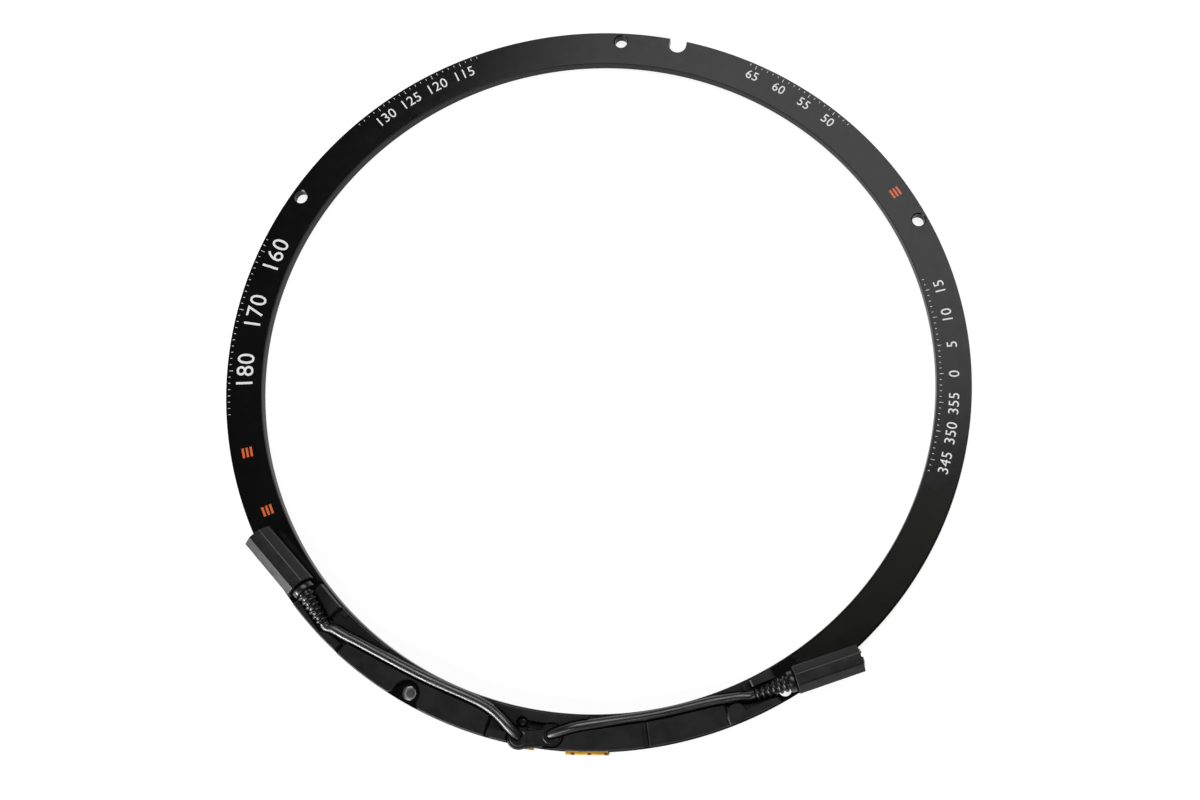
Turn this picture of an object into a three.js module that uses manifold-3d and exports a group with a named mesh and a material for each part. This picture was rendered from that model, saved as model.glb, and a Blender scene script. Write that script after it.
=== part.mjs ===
// Dew heater ring for the front cell of a 203 mm aperture telescope.
//
// The ring lies flat. The origin is the ring's centre on the surface that the heater film rests on.
// +Z points up, away from that surface. +X points right and +Y up as seen from above.
// Sizes are in millimetres and angles in degrees, counted from +X towards +Y.
import * as THREE from "three";
import { mergeVertices } from "three/addons/utils/BufferGeometryUtils.js";
import Module from "manifold-3d";

const wasm = await Module();
wasm.setup();

// Ring plate
const apertureRadius = 103.1;
const bandWidth = 10.9;
const plateThickness = 3.0;
const plateEdgeChamfer = 0.35;
const screwHoleDiameter = 4.0;
const screwHoleChamfer = 0.35;
const screwHoleEdgeDistance = 3.0;
const screwHoleAngles = [27.0, 88.0, 149.3, 240.9, 300.1];
const notchWidth = 5.5;
const notchDepth = 4.5;
const notchAngle = 78.6;

// Heater film
const filmThickness = 0.3;
const filmInnerInset = 1.2;
const filmWidth = 4.4;
const tailAngle = 269.05;
const tailWidth = 12.4;
const tailWallGap = 0.45;
const tailFoldInset = 4.6;
const sideTabAngle = 260.3;
const sideTabWidth = 3.7;
const sideTabReach = 0.8;

// Moulded cover
const coverEdgeInset = 0.4;
const coverFloor = 0.5;
const coverHeight = 3.3;
const coverChamfer = 0.4;
const ledgeHeight = 1.5;
const leftForkHeight = 3.0;
const rightForkHeight = 4.7;
const leftArmEnd = 218.9;
const leftForkEnd = 228.9;
const leftBlockEnd = 224.2;
const leftHookEnd = 226.0;
const leftLedgeEnd = 234.5;
const leftSeam = 254.1;
const rightSeam = 278.2;
const rightForkStart = 290.4;
const rightLedgeEnd = 294.75;
const rightBlockStart = 295.7;
const rightArmEnd = 298.6;
const rightBlockEnd = 299.6;
const seamWidth = 0.3;
const seamLipWidth = 1.3;
const seamLipDrop = 0.45;
const edgeStep = 0.1;
const lap = 0.3;
const forkWallWidth = 2.6;
const forkSlotWidth = 1.0;
const domeAngle = 292.0;
const domeInset = 2.9;
const domeRadius = 2.95;
const ribWidth = 0.9;
const ribRise = 0.8;
const hookWidth = 1.3;
const blockWidth = 4.3;
const blockHeight = 3.9;
const pocketRadius = 4.0;
const pocketFillet = 2.6;
const pocketRunout = 0.25;
const channelClearance = 0.35;
const bootClearance = 0.45;

// Cap
const capWall = 0.9;
const capRoof = 1.0;
const cavityStart = 266.9;
const cavityEnd = 276.9;
const cavityMargin = 0.7;
const tailSlotClearance = 0.15;
const capLowHeight = 1.7;
const capLowRim = 2.7;
const capLowEnd = 257.2;
const capLowMinimum = 0.5;
const shelfStart = 269.2;
const recessStart = 258.4;
const recessEnd = 263.9;
const recessInset = 5.0;
const recessWidth = 2.3;
const recessFloor = 0.7;

// Grommet with two eyelets
const grommetAngle = 261.35;
const grommetInset = 3.45;
const grommetHeading = 3.65;
const eyeletPitch = 9.42;
const lobeRadius = 3.55;
const webWidth = 5.0;
const webOffset = 0.8;
const barWidth = 2.8;
const barRise = 0.45;
const lipRadius = 2.6;
const lipWidth = 0.8;
const lipRise = 0.55;
const grommetThickness = 2.6;
const grommetLift = 0.3;
const wireGrooveHeight = 1.1;
const wireGrooveWidth = 3.5;
const grooveOffset = 1.1;
const wireWellDiameter = 3.8;
const wireWellRise = 0.4;
const wireGrooveClearance = 0.6;

// Screw in the cap, plug in the pocket's hole
const screwAngle = 259.05;
const screwInset = 6.85;
const screwHeadDiameter = 2.6;
const screwHeadHeight = 1.2;
const screwShankDiameter = 1.6;
const screwLength = 3.3;
const screwDriveSize = 1.2;
const screwDriveDepth = 0.6;
const tappedHoleDepth = 2.6;
const fitGap = 0.2;
const plugThickness = 1.1;
const plugRim = 0.5;
const plugDish = 0.3;

// Leads: each route is angle in degrees, radius and height, from the eyelet to the strain relief
const cableDiameter = 2.8;
const leftRoute = [
  [258.95, 111.3, 5.5], [258.35, 110.65, 6.15], [257.6, 109.7, 6.65], [256.7, 108.5, 6.9],
  [255.6, 107.2, 6.8], [254.2, 106.0, 6.35], [252.2, 105.0, 5.8], [249.5, 104.5, 5.5],
  [247.0, 104.4, 5.5], [244.5, 104.5, 5.5], [241.7, 104.7, 5.5], [238.7, 105.05, 5.5],
  [235.6, 105.6, 5.5], [232.5, 106.45, 5.5], [229.9, 107.4, 5.55], [227.8, 108.45, 5.6],
  [225.8, 109.4, 5.75], [224.05, 110.0, 5.95],
];
const rightRoute = [
  [263.5, 109.5, 5.5], [264.25, 108.9, 6.15], [265.15, 108.15, 6.65], [266.3, 107.3, 6.9],
  [267.7, 106.55, 6.8], [269.4, 105.95, 6.35], [271.7, 105.4, 5.8], [274.5, 104.95, 5.5],
  [277.5, 104.75, 5.5], [280.5, 104.65, 5.5], [283.5, 104.65, 5.5], [286.5, 104.8, 5.5],
  [289.0, 105.2, 5.55], [291.2, 105.95, 5.6], [293.2, 106.9, 5.75], [295.75, 108.3, 5.95],
];

// Strain reliefs
const bootLength = 12.2;
const bootGap = 0.3;
const collarLength = 1.9;
const collarDiameter = 6.2;
const ribCount = 6;
const ribDiameterWide = 5.5;
const ribDiameterNarrow = 3.9;
const ribGroove = 0.55;
const ribShare = 0.6;

// Line sockets
const jackWidth = 8.2;
const jackLength = 20.1;
const jackAxisHeight = 7.85;
const leftJackHeading = 131.9;
const leftBootHeading = 123.1;
const leftJackRoll = 5.0;
const rightJackHeading = 18.6;
const rightBootHeading = 19.4;
const powerSleeveOuter = 6.4;
const powerSleeveInner = 5.6;
const powerSleeveDepth = 10.0;
const powerPinDiameter = 2.1;
const powerPinLength = 7.5;
const powerBaseThickness = 1.6;
const plugBushingOuter = 5.4;
const plugBushingInner = 3.7;
const plugBushingLength = 5.0;
const plugBushingProud = 0.6;
const plugInsulatorOuter = 5.0;
const plugInsulatorDepth = 13.5;
const plugInsulatorEnd = 1.4;
const plugContactLength = 3.2;
const plugContactDiameter = 1.6;

// Board and sensor under the cap
const boardLength = 10.0;
const boardWidth = 3.2;
const boardThickness = 0.8;
const boardStart = -1.4;
const boardInset = 3.5;
const wireDiameter = 0.5;
const wirePitch = 0.8;
const wireGap = 0.3;
const wireLap = 1.7;
const wireTurn = 1.6;
const coreOffset = 0.45;
const sensorLength = 3.0;
const sensorWidth = 1.8;
const sensorHeight = 1.7;
const sensorOffset = 1.4;
const sensorLeadWidth = 0.5;
const sensorShift = 0.3;

// Label
const labelThickness = 0.15;
const labelInset = 0.7;
const labelStart = 303.8;
const labelSpan = 45.0;
const labelEndLine = -36.3;

// Values that follow from those above
const plateOuterRadius = apertureRadius + bandWidth;
const plateBottom = filmThickness;
const plateTop = plateBottom + plateThickness;
const holeCircleRadius = plateOuterRadius - screwHoleEdgeDistance;
const filmInnerRadius = apertureRadius + filmInnerInset;
const filmOuterRadius = filmInnerRadius + filmWidth;
const coverInner = apertureRadius + coverEdgeInset;
const coverOuter = plateOuterRadius - coverEdgeInset;
const floorTop = plateTop + coverFloor;
const coverTop = plateTop + coverHeight;
const ledgeTop = plateTop + ledgeHeight;
const blockTop = plateTop + blockHeight;
const forkOuter = coverOuter - edgeStep;
const forkInner = forkOuter - forkWallWidth;
const blockInner = coverInner + edgeStep;
const blockOuter = blockInner + blockWidth;
const grommetCircle = plateOuterRadius - grommetInset;
const grommetBottom = plateTop + grommetLift;
const grommetTop = grommetBottom + grommetThickness;
const screwCircle = plateOuterRadius - screwInset;
const boardCircle = plateOuterRadius - boardInset;
const cableRadius = cableDiameter / 2;
const boardBottom = plateTop + filmThickness;
const boardTop = boardBottom + boardThickness;
const pocketAngle = screwHoleAngles[3];
const ringSegments = 144;
const roundSegments = 24;
const bandStep = 2;
const above = 20;

const radians = THREE.MathUtils.degToRad;
const seamAngle = arcAngle(seamWidth);
const lipAngle = arcAngle(seamLipWidth);

// Materials
function finish(color, roughness, metalness) {
  return new THREE.MeshStandardMaterial({ color, roughness, metalness });
}
const anodised = finish(0x24252a, 0.5, 0.7);
const polyimide = finish(0xc07a1e, 0.35, 0.0);
const coverPlastic = finish(0x1c1c1f, 0.6, 0.0);
const grommetRubber = finish(0x131315, 0.7, 0.0);
const blackSteel = finish(0x17171a, 0.4, 0.9);
const bareSteel = finish(0x8a8d92, 0.35, 1.0);
const cableJacket = finish(0x0d0d0f, 0.25, 0.0);
const bootPlastic = finish(0x151517, 0.4, 0.0);
const jackPlastic = finish(0x202024, 0.5, 0.0);
const nickel = finish(0xd6d4cf, 0.2, 1.0);
const contactGold = finish(0xc9a24a, 0.25, 1.0);
const whitePlastic = finish(0xd8d8d2, 0.5, 0.0);
const boardLaminate = finish(0x1f5a34, 0.45, 0.0);
const sensorEpoxy = finish(0x101820, 0.3, 0.0);
const redWire = finish(0xa01d18, 0.4, 0.0);
const blackWire = finish(0x111113, 0.4, 0.0);
const labelFilm = finish(0x22251f, 0.55, 0.0);

// Turns a closed three.js geometry into a solid that can be joined and cut
function solid(geometry) {
  const bare = geometry.clone();
  bare.deleteAttribute("normal");
  bare.deleteAttribute("uv");
  const merged = mergeVertices(bare, 1e-4);
  const mesh = new wasm.Mesh({
    numProp: 3,
    vertProperties: new Float32Array(merged.attributes.position.array),
    triVerts: new Uint32Array(merged.index.array),
  });
  return new wasm.Manifold(mesh);
}

// Turns a solid back into a named mesh
function meshOf(name, shape, material) {
  const data = shape.getMesh();
  const geometry = new THREE.BufferGeometry();
  geometry.setAttribute("position", new THREE.BufferAttribute(data.vertProperties, 3));
  geometry.setIndex(new THREE.BufferAttribute(data.triVerts, 1));
  geometry.computeVertexNormals();
  const mesh = new THREE.Mesh(geometry, material);
  mesh.name = name;
  return mesh;
}

// Sets a mesh on a point of the ring
function setOn(mesh, angle, radius) {
  const at = polar(angle, radius);
  mesh.position.set(at.x, at.y, 0);
  return mesh;
}

// The angle of an arc of the ring's outer edge, in degrees
function arcAngle(length) {
  return THREE.MathUtils.radToDeg(length / plateOuterRadius);
}

function polar(angle, radius) {
  return new THREE.Vector2(radius * Math.cos(radians(angle)), radius * Math.sin(radians(angle)));
}

// Extrudes a flat outline from one height to another
function prism(outline, bottom, top, curveSegments = 12) {
  const depth = top - bottom;
  const geometry = new THREE.ExtrudeGeometry(outline, { depth, bevelEnabled: false, curveSegments });
  return solid(geometry.translate(0, 0, bottom));
}

// The same, with a chamfer round the top edge
function chamferedPrism(outline, bottom, top, chamfer, curveSegments = 12) {
  const height = top - bottom;
  const geometry = new THREE.ExtrudeGeometry(outline, {
    depth: height, bevelEnabled: true, bevelThickness: chamfer, bevelSize: chamfer,
    bevelOffset: -chamfer, bevelSegments: 1, curveSegments,
  });
  const tall = solid(geometry.translate(0, 0, top - height - chamfer));
  return tall.trimByPlane([0, 0, 1], bottom);
}

// A flat band between two edges, each a radius or a function of the angle in degrees
function bandShape(inner, outer, start, end) {
  const radiusAt = (edge, angle) => (typeof edge === "function" ? edge(angle) : edge);
  const steps = Math.max(2, Math.ceil((end - start) / bandStep));
  const outerEdge = [];
  const innerEdge = [];
  for (let i = 0; i <= steps; i += 1) {
    const angle = THREE.MathUtils.lerp(start, end, i / steps);
    outerEdge.push(polar(angle, radiusAt(outer, angle)));
    innerEdge.unshift(polar(angle, radiusAt(inner, angle)));
  }
  return new THREE.Shape([...outerEdge, ...innerEdge]);
}

function band(inner, outer, start, end, bottom, top) {
  return prism(bandShape(inner, outer, start, end), bottom, top);
}

function chamferedBand(inner, outer, start, end, bottom, top) {
  return chamferedPrism(bandShape(inner, outer, start, end), bottom, top, coverChamfer);
}

// Turns a profile of radius and height points about the Z axis
function turned(points, segments = roundSegments) {
  const profile = points.map(([radius, height]) => new THREE.Vector2(radius, height));
  const geometry = new THREE.LatheGeometry(profile, segments);
  return solid(geometry.rotateX(Math.PI / 2));
}

function rod(diameter, bottom, top, segments = roundSegments) {
  const radius = diameter / 2;
  return turned([[0, bottom], [radius, bottom], [radius, top], [0, top]], segments);
}

function tube(outer, inner, bottom, top, segments = roundSegments) {
  const [a, b] = [inner / 2, outer / 2];
  return turned([[a, bottom], [b, bottom], [b, top], [a, top], [a, bottom]], segments);
}

function box(size, centre) {
  const geometry = new THREE.BoxGeometry(...size);
  return solid(geometry.translate(...centre));
}

// Carries a solid to a place: position, then heading about Z, then a turn about the new Y
function placed(shape, position, heading, pitch = 0, roll = 0) {
  const matrix = new THREE.Matrix4();
  const turn = new THREE.Euler(radians(roll), radians(pitch), radians(heading), "ZYX");
  matrix.makeRotationFromEuler(turn).setPosition(...position);
  return shape.transform(matrix.elements);
}

function routePoint([angle, radius, height]) {
  const flat = polar(angle, radius);
  return new THREE.Vector3(flat.x, flat.y, height);
}

// A round bar along a curve
function swept(curve, diameter, sides, steps) {
  const section = new THREE.Shape();
  for (let i = 0; i < sides; i += 1) {
    const turn = (2 * Math.PI * i) / sides;
    const point = [Math.cos(turn) * diameter / 2, Math.sin(turn) * diameter / 2];
    if (i === 0) section.moveTo(...point);
    else section.lineTo(...point);
  }
  section.closePath();
  return solid(new THREE.ExtrudeGeometry(section, { steps, bevelEnabled: false, extrudePath: curve }));
}

// The flat outline of a band that follows a curve, seen from above
function bandOutline(curve, halfWidth, steps) {
  const left = [];
  const right = [];
  for (let i = 0; i <= steps; i += 1) {
    const at = curve.getPointAt(i / steps);
    const along = curve.getTangentAt(i / steps);
    const side = new THREE.Vector2(-along.y, along.x).normalize().multiplyScalar(halfWidth(i / steps));
    left.push(new THREE.Vector2(at.x + side.x, at.y + side.y));
    right.unshift(new THREE.Vector2(at.x - side.x, at.y - side.y));
  }
  const outline = [...left, ...right];
  if (THREE.ShapeUtils.area(outline) < 0) outline.reverse();
  return new THREE.Shape(outline);
}

// Where each lead's strain relief and socket stand: the route's last point is the relief's narrow end
function leadFrame(route, jackHeading, bootHeading, roll) {
  const [angle, radius, height] = route[route.length - 1];
  const flat = polar(angle, radius);
  const tip = new THREE.Vector3(flat.x, flat.y, height);
  const rise = jackAxisHeight - height;
  const run = Math.sqrt(bootLength ** 2 - rise ** 2);
  const heading = polar(bootHeading, run);
  const rear = new THREE.Vector3(tip.x + heading.x, tip.y + heading.y, jackAxisHeight);
  const back = tip.clone().sub(rear).normalize();
  const points = route.slice(0, -1).map(routePoint);
  points.push(tip.clone().addScaledVector(back, bootGap + cableDiameter / 2));
  points.push(tip.clone().addScaledVector(back, bootGap));
  const curve = new THREE.CatmullRomCurve3(points, false, "centripetal");
  const pitch = -THREE.MathUtils.radToDeg(Math.asin(rise / bootLength));
  return { curve, tip, rear, back, pitch, jackHeading, bootHeading, roll };
}
const leftLead = leadFrame(leftRoute, leftJackHeading, leftBootHeading, leftJackRoll);
const rightLead = leadFrame(rightRoute, rightJackHeading, rightBootHeading, 0);

// Ring plate: chamfered band, screw holes, notch and one tapped hole for the cap's screw
function buildPlate() {
  const c = plateEdgeChamfer;
  let plate = turned([
    [apertureRadius, plateBottom], [plateOuterRadius, plateBottom],
    [plateOuterRadius, plateTop - c], [plateOuterRadius - c, plateTop],
    [apertureRadius + c, plateTop], [apertureRadius, plateTop - c], [apertureRadius, plateBottom],
  ], ringSegments);
  const bore = screwHoleDiameter / 2;
  const hole = turned([
    [0, plateBottom - 1], [bore, plateBottom - 1], [bore, plateTop - screwHoleChamfer],
    [bore + screwHoleChamfer + 1, plateTop + 1], [0, plateTop + 1],
  ]);
  for (const angle of screwHoleAngles) {
    const at = polar(angle, holeCircleRadius);
    plate = plate.subtract(hole.translate([at.x, at.y, 0]));
  }
  const half = notchWidth / 2;
  const bottomCentre = plateOuterRadius - notchDepth + half;
  const notch = new THREE.Shape();
  notch.moveTo(plateOuterRadius + half, half);
  notch.lineTo(bottomCentre, half);
  notch.absarc(bottomCentre, 0, half, Math.PI / 2, -Math.PI / 2, false);
  notch.lineTo(plateOuterRadius + half, -half);
  notch.closePath();
  plate = plate.subtract(placed(prism(notch, plateBottom - 1, plateTop + 1, 10), [0, 0, 0], notchAngle));
  const screw = polar(screwAngle, screwCircle);
  const tapped = rod(screwShankDiameter + 2 * fitGap, plateTop - tappedHoleDepth, plateTop + 1, 16);
  return plate.subtract(tapped.translate([screw.x, screw.y, 0]));
}

// Heater film: flat band under the plate, its tail folded up over the plate's outer edge
function buildFilm() {
  const band = turned([
    [filmInnerRadius, 0], [filmOuterRadius, 0], [filmOuterRadius, filmThickness],
    [filmInnerRadius, filmThickness], [filmInnerRadius, 0],
  ], ringSegments);
  const wallInner = plateOuterRadius + tailWallGap;
  const wallOuter = wallInner + filmThickness;
  const wallHeight = plateTop + filmThickness;
  const lowLength = wallOuter - filmOuterRadius + 1;
  const low = box([lowLength, tailWidth, filmThickness], [wallOuter - lowLength / 2, 0, filmThickness / 2]);
  const wallCentre = [wallOuter - filmThickness / 2, 0, wallHeight / 2];
  const wall = box([filmThickness, tailWidth, wallHeight], wallCentre);
  const foldLength = wallOuter - (plateOuterRadius - tailFoldInset);
  const fold = box(
    [foldLength, tailWidth, filmThickness],
    [wallOuter - foldLength / 2, 0, plateTop + filmThickness / 2],
  );
  const tail = placed(low.add(wall).add(fold), [0, 0, 0], tailAngle);
  const sideLength = plateOuterRadius + sideTabReach - filmOuterRadius + 1;
  const sideCentre = plateOuterRadius + sideTabReach - sideLength / 2;
  const side = box([sideLength, sideTabWidth, filmThickness], [sideCentre, 0, filmThickness / 2]);
  return band.add(tail).add(placed(side, [0, 0, 0], sideTabAngle));
}

// Radius just inside a cable's channel at an angle: side 1 is its outer wall and -1 the inner one
function channelEdge(lead, side) {
  const steps = 60;
  const samples = [];
  for (let i = 0; i <= steps; i += 1) {
    const at = lead.curve.getPointAt(i / steps);
    const angle = THREE.MathUtils.radToDeg(Math.atan2(at.y, at.x)) + 360;
    const radius = Math.hypot(at.x, at.y) + side * cableRadius;
    samples.push([angle, radius]);
  }
  samples.sort((one, other) => one[0] - other[0]);
  return (angle) => {
    const next = samples.findIndex((sample) => sample[0] >= angle);
    if (next < 0) return samples[samples.length - 1][1];
    if (next === 0) return samples[0][1];
    const [before, after] = [samples[next - 1], samples[next]];
    return THREE.MathUtils.mapLinear(angle, before[0], after[0], before[1], after[1]);
  };
}

// The space that a cable takes out of the cover, open at the top
function channelCut(lead) {
  return prism(bandOutline(lead.curve, () => cableRadius + channelClearance, 48), floorTop, above);
}

// The space that a strain relief takes out of the cover, open at the top
function bootCut(lead) {
  const before = lead.tip.clone().addScaledVector(lead.back, 2 * bootGap + cableRadius);
  const axis = new THREE.LineCurve3(before, lead.rear);
  const narrow = ribDiameterNarrow / 2 + bootClearance;
  const wide = ribDiameterWide / 2 + channelClearance;
  const taper = bandOutline(axis, (share) => THREE.MathUtils.lerp(narrow, wide, share), 2);
  const collarEnd = lead.rear.clone().lerp(lead.tip, (collarLength + 2 * bootGap) / bootLength);
  const past = lead.rear.clone().lerp(lead.tip, -collarLength / bootLength);
  const collarAxis = new THREE.LineCurve3(collarEnd, past);
  const collar = bandOutline(collarAxis, () => collarDiameter / 2 + channelClearance, 2);
  return prism(taper, floorTop, above).add(prism(collar, floorTop, above));
}

// The pocket that leaves a screw hole free, its mouth rounded into the outer edge on both sides
function pocketCut() {
  const centre = polar(pocketAngle, holeCircleRadius);
  const fromHole = pocketRadius + pocketFillet;
  const fromCentre = coverOuter + pocketRunout - pocketFillet;
  const outward = (fromCentre ** 2 - fromHole ** 2 - holeCircleRadius ** 2) / (2 * holeCircleRadius);
  const aside = Math.sqrt(fromHole ** 2 - outward ** 2);
  const flare = new THREE.Shape();
  const far = screwHoleEdgeDistance + pocketFillet;
  const joint = Math.atan2(-aside, -outward);
  flare.moveTo(0, 0);
  flare.absarc(outward, aside, pocketFillet, joint, 0, false);
  flare.lineTo(far, aside + pocketFillet);
  flare.lineTo(far, -aside - pocketFillet);
  flare.absarc(outward, -aside, pocketFillet, 0, -joint, false);
  flare.closePath();
  const mouth = placed(prism(flare, plateTop - 1, above, 10), [centre.x, centre.y, 0], pocketAngle);
  return rod(2 * pocketRadius, plateTop - 1, above).translate([centre.x, centre.y, 0]).add(mouth);
}

// A floor of the cover's full width, just inside its edges
function floorBand(start, end) {
  return band(coverInner + edgeStep / 2, coverOuter - edgeStep / 2, start, end, plateTop, floorTop);
}

// Left arm of the cover: panel with the pocket, cable channel, ledge with a hook and forked end
function buildLeftArm() {
  const end = leftSeam - seamAngle / 2;
  const panelInner = channelEdge(leftLead, 1);
  const ledgeOuter = channelEdge(leftLead, -1);
  const forkTop = plateTop + leftForkHeight;
  const forkEnd = leftForkEnd - arcAngle(forkSlotWidth);
  const hookOuter = coverInner + edgeStep + hookWidth;
  const whole = [
    floorBand(leftArmEnd, end),
    chamferedBand(panelInner, coverOuter, leftForkEnd, end, plateTop, coverTop),
    chamferedBand(forkInner, forkOuter, leftArmEnd, forkEnd, plateTop, forkTop),
    chamferedBand(blockInner, blockOuter, leftArmEnd + lap, leftBlockEnd, plateTop, blockTop),
    chamferedBand(blockInner, hookOuter, leftBlockEnd + lap, leftHookEnd, plateTop, ledgeTop + ribRise),
    band(coverInner, ledgeOuter, leftBlockEnd - lap, leftLedgeEnd, plateTop, ledgeTop),
  ].reduce((sum, part) => sum.add(part));
  return whole.subtract(channelCut(leftLead)).subtract(bootCut(leftLead)).subtract(pocketCut());
}

// Right arm of the cover: panel, cable channel, ledge with a rib and forked end with a dome
function buildRightArm() {
  const start = rightSeam + seamAngle / 2;
  const panelInner = channelEdge(rightLead, 1);
  const ledgeOuter = channelEdge(rightLead, -1);
  const forkTop = plateTop + rightForkHeight;
  const domeCentre = polar(domeAngle, plateOuterRadius - domeInset);
  const circle = new THREE.Shape().absarc(0, 0, domeRadius, 0, 2 * Math.PI, false);
  const standing = chamferedPrism(circle, plateTop, forkTop, coverChamfer);
  const dome = standing.translate([domeCentre.x, domeCentre.y, 0]);
  const keep = band(coverInner, forkOuter, rightForkStart, rightArmEnd, plateTop - 1, above);
  const ribStart = rightLedgeEnd - arcAngle(ribWidth);
  const whole = [
    floorBand(start, rightArmEnd),
    chamferedBand(panelInner, coverOuter, start, rightForkStart + lap, plateTop, coverTop),
    chamferedBand(forkInner, forkOuter, rightForkStart, rightArmEnd, plateTop, forkTop),
    dome.intersect(keep),
    chamferedBand(blockInner, blockOuter, rightBlockStart, rightBlockEnd, plateTop, blockTop),
    band(coverInner, ledgeOuter, rightForkStart, rightLedgeEnd, plateTop, ledgeTop),
    band(blockInner, ledgeOuter, ribStart, rightLedgeEnd - edgeStep, plateTop, ledgeTop + ribRise),
  ].reduce((sum, part) => sum.add(part));
  return whole.subtract(channelCut(rightLead)).subtract(bootCut(rightLead));
}

// The dog-bone outline of the grommet, grown by a gap
function grommetOutline(grow, bottom, top, chamfer = 0) {
  const half = eyeletPitch / 2;
  const radius = lobeRadius + grow;
  const low = -webOffset - webWidth / 2 - grow;
  const high = -webOffset + webWidth / 2 + grow;
  const shapes = [-half, half].map((x) => new THREE.Shape().absarc(x, 0, radius, 0, 2 * Math.PI, false));
  const corners = [[-half, low], [half, low], [half, high], [-half, high]];
  shapes.push(new THREE.Shape(corners.map(([x, y]) => new THREE.Vector2(x, y))));
  const parts = shapes.map((shape) => chamferedPrism(shape, bottom, top, Math.max(chamfer, 0.01)));
  const whole = parts.reduce((sum, part) => sum.add(part));
  const centre = polar(grommetAngle, grommetCircle);
  return placed(whole, [centre.x, centre.y, 0], grommetHeading);
}

// Where the cores leave a cable, and the way they point
function cableStart(lead) {
  const start = lead.curve.getPoint(0);
  const along = lead.curve.getTangent(0);
  return { start, along };
}

// The tunnel through the grommet for a cable, and the well where its cores turn down
function eyeletCut(lead) {
  const { start, along } = cableStart(lead);
  const back = start.clone().addScaledVector(along, -channelClearance);
  const points = [back, start];
  for (const share of [0.03, 0.06, 0.09, 0.12, 0.16]) points.push(lead.curve.getPointAt(share));
  const tunnel = swept(new THREE.CatmullRomCurve3(points), cableDiameter + 2 * channelClearance, 16, 12);
  const well = rod(wireWellDiameter, plateTop - 1, start.z + wireWellRise, 16);
  const middle = start.clone().addScaledVector(along, -wireWellDiameter / 3);
  return tunnel.add(well.translate([middle.x, middle.y, 0]));
}

// The groove under the grommet that takes the cores to the cap's cavity
function wireGroove(bottom, top, width) {
  const centre = polar(grommetAngle, grommetCircle);
  const [left, right] = [-eyeletPitch / 2 - lobeRadius / 3, eyeletPitch / 2 + 2 * lobeRadius];
  const groove = box(
    [right - left, width, top - bottom],
    [(left + right) / 2, -grooveOffset, (top + bottom) / 2],
  );
  return placed(groove, [centre.x, centre.y, 0], grommetHeading);
}

// Cap of the cover: centre piece with both channels, the grommet's seat, the screw's recess and the cavity
function buildCap() {
  const start = leftSeam + seamAngle / 2;
  const end = rightSeam - seamAngle / 2;
  const outerWall = channelEdge(rightLead, 1);
  const lowFloor = plateTop + capLowHeight;
  const lowOuter = coverOuter - capLowRim;
  const leftWall = channelEdge(leftLead, 1);
  const lowInner = (angle) => Math.min(leftWall(angle), lowOuter - capLowMinimum);
  const screw = polar(screwAngle, screwCircle);
  const seat = plateTop + recessFloor;
  const recessOuter = coverOuter - recessInset;
  const cavityInner = (angle) => outerWall(angle) + channelClearance + cavityMargin;
  const slotAngle = arcAngle(tailWidth / 2 + tailSlotClearance);
  const lipFloor = coverTop - seamLipDrop;
  const grooveTop = grommetBottom + wireGrooveHeight + grommetLift;
  const cuts = [
    channelCut(leftLead),
    channelCut(rightLead),
    band(apertureRadius - 1, plateOuterRadius, start - 1, start + lipAngle, lipFloor, above),
    band(apertureRadius - 1, plateOuterRadius, end - lipAngle, end + 1, lipFloor, above),
    band(apertureRadius - 1, outerWall, shelfStart, end + 1, floorTop, above),
    band(lowInner, lowOuter, start - 1, capLowEnd, lowFloor, above),
    grommetOutline(fitGap, plateTop - 1, above),
    band(recessOuter - recessWidth, recessOuter, recessStart, recessEnd, seat, above),
    rod(screwHeadDiameter + 4 * fitGap, seat, above).translate([screw.x, screw.y, 0]),
    rod(screwShankDiameter + 2 * fitGap, plateTop - 1, above, 16).translate([screw.x, screw.y, 0]),
    band(cavityInner, coverOuter - capWall, cavityStart, cavityEnd, plateTop - 1, coverTop - capRoof),
    band(
      coverOuter - tailFoldInset, plateOuterRadius + 1, tailAngle - slotAngle, tailAngle + slotAngle,
      plateTop - 1, plateTop + filmThickness + fitGap,
    ),
    wireGroove(plateTop - 1, grooveTop, wireGrooveWidth + 2 * wireGrooveClearance),
  ];
  let cap = chamferedBand(coverInner, coverOuter, start, end, plateTop, coverTop);
  for (const cut of cuts) cap = cap.subtract(cut);
  return cap;
}

// A raised lip round an eyelet, its top slightly dished
function eyeletLip() {
  const inner = lipRadius - lipWidth;
  const [base, top] = [grommetTop - coverChamfer, grommetTop + lipRise];
  return turned([
    [0, base], [lipRadius, base], [lipRadius, top - lipWidth / 3], [lipRadius - lipWidth / 3, top],
    [inner + lipWidth / 3, top], [inner, top - lipWidth / 3], [0, top - lipWidth / 3],
  ]);
}

// Rubber grommet: two lobes with lips and a web with a bar, and a tunnel for each cable
function buildGrommet() {
  const at = polar(screwAngle, screwCircle);
  const centre = polar(grommetAngle, grommetCircle);
  const half = eyeletPitch / 2;
  const barMiddle = -webOffset + (webWidth - barWidth) / 2;
  const bar = box(
    [eyeletPitch, barWidth, grommetThickness + barRise - coverChamfer],
    [0, barMiddle, grommetBottom + (grommetThickness + barRise + coverChamfer) / 2],
  );
  const raised = bar.add(eyeletLip().translate([-half, 0, 0])).add(eyeletLip().translate([half, 0, 0]));
  return grommetOutline(0, grommetBottom, grommetTop, coverChamfer)
    .add(placed(raised, [centre.x, centre.y, 0], grommetHeading))
    .subtract(rod(screwHeadDiameter + 4 * fitGap, grommetBottom - 1, above).translate([at.x, at.y, 0]))
    .subtract(eyeletCut(leftLead))
    .subtract(eyeletCut(rightLead))
    .subtract(wireGroove(grommetBottom - 1, grommetBottom + wireGrooveHeight, wireGrooveWidth));
}

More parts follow.
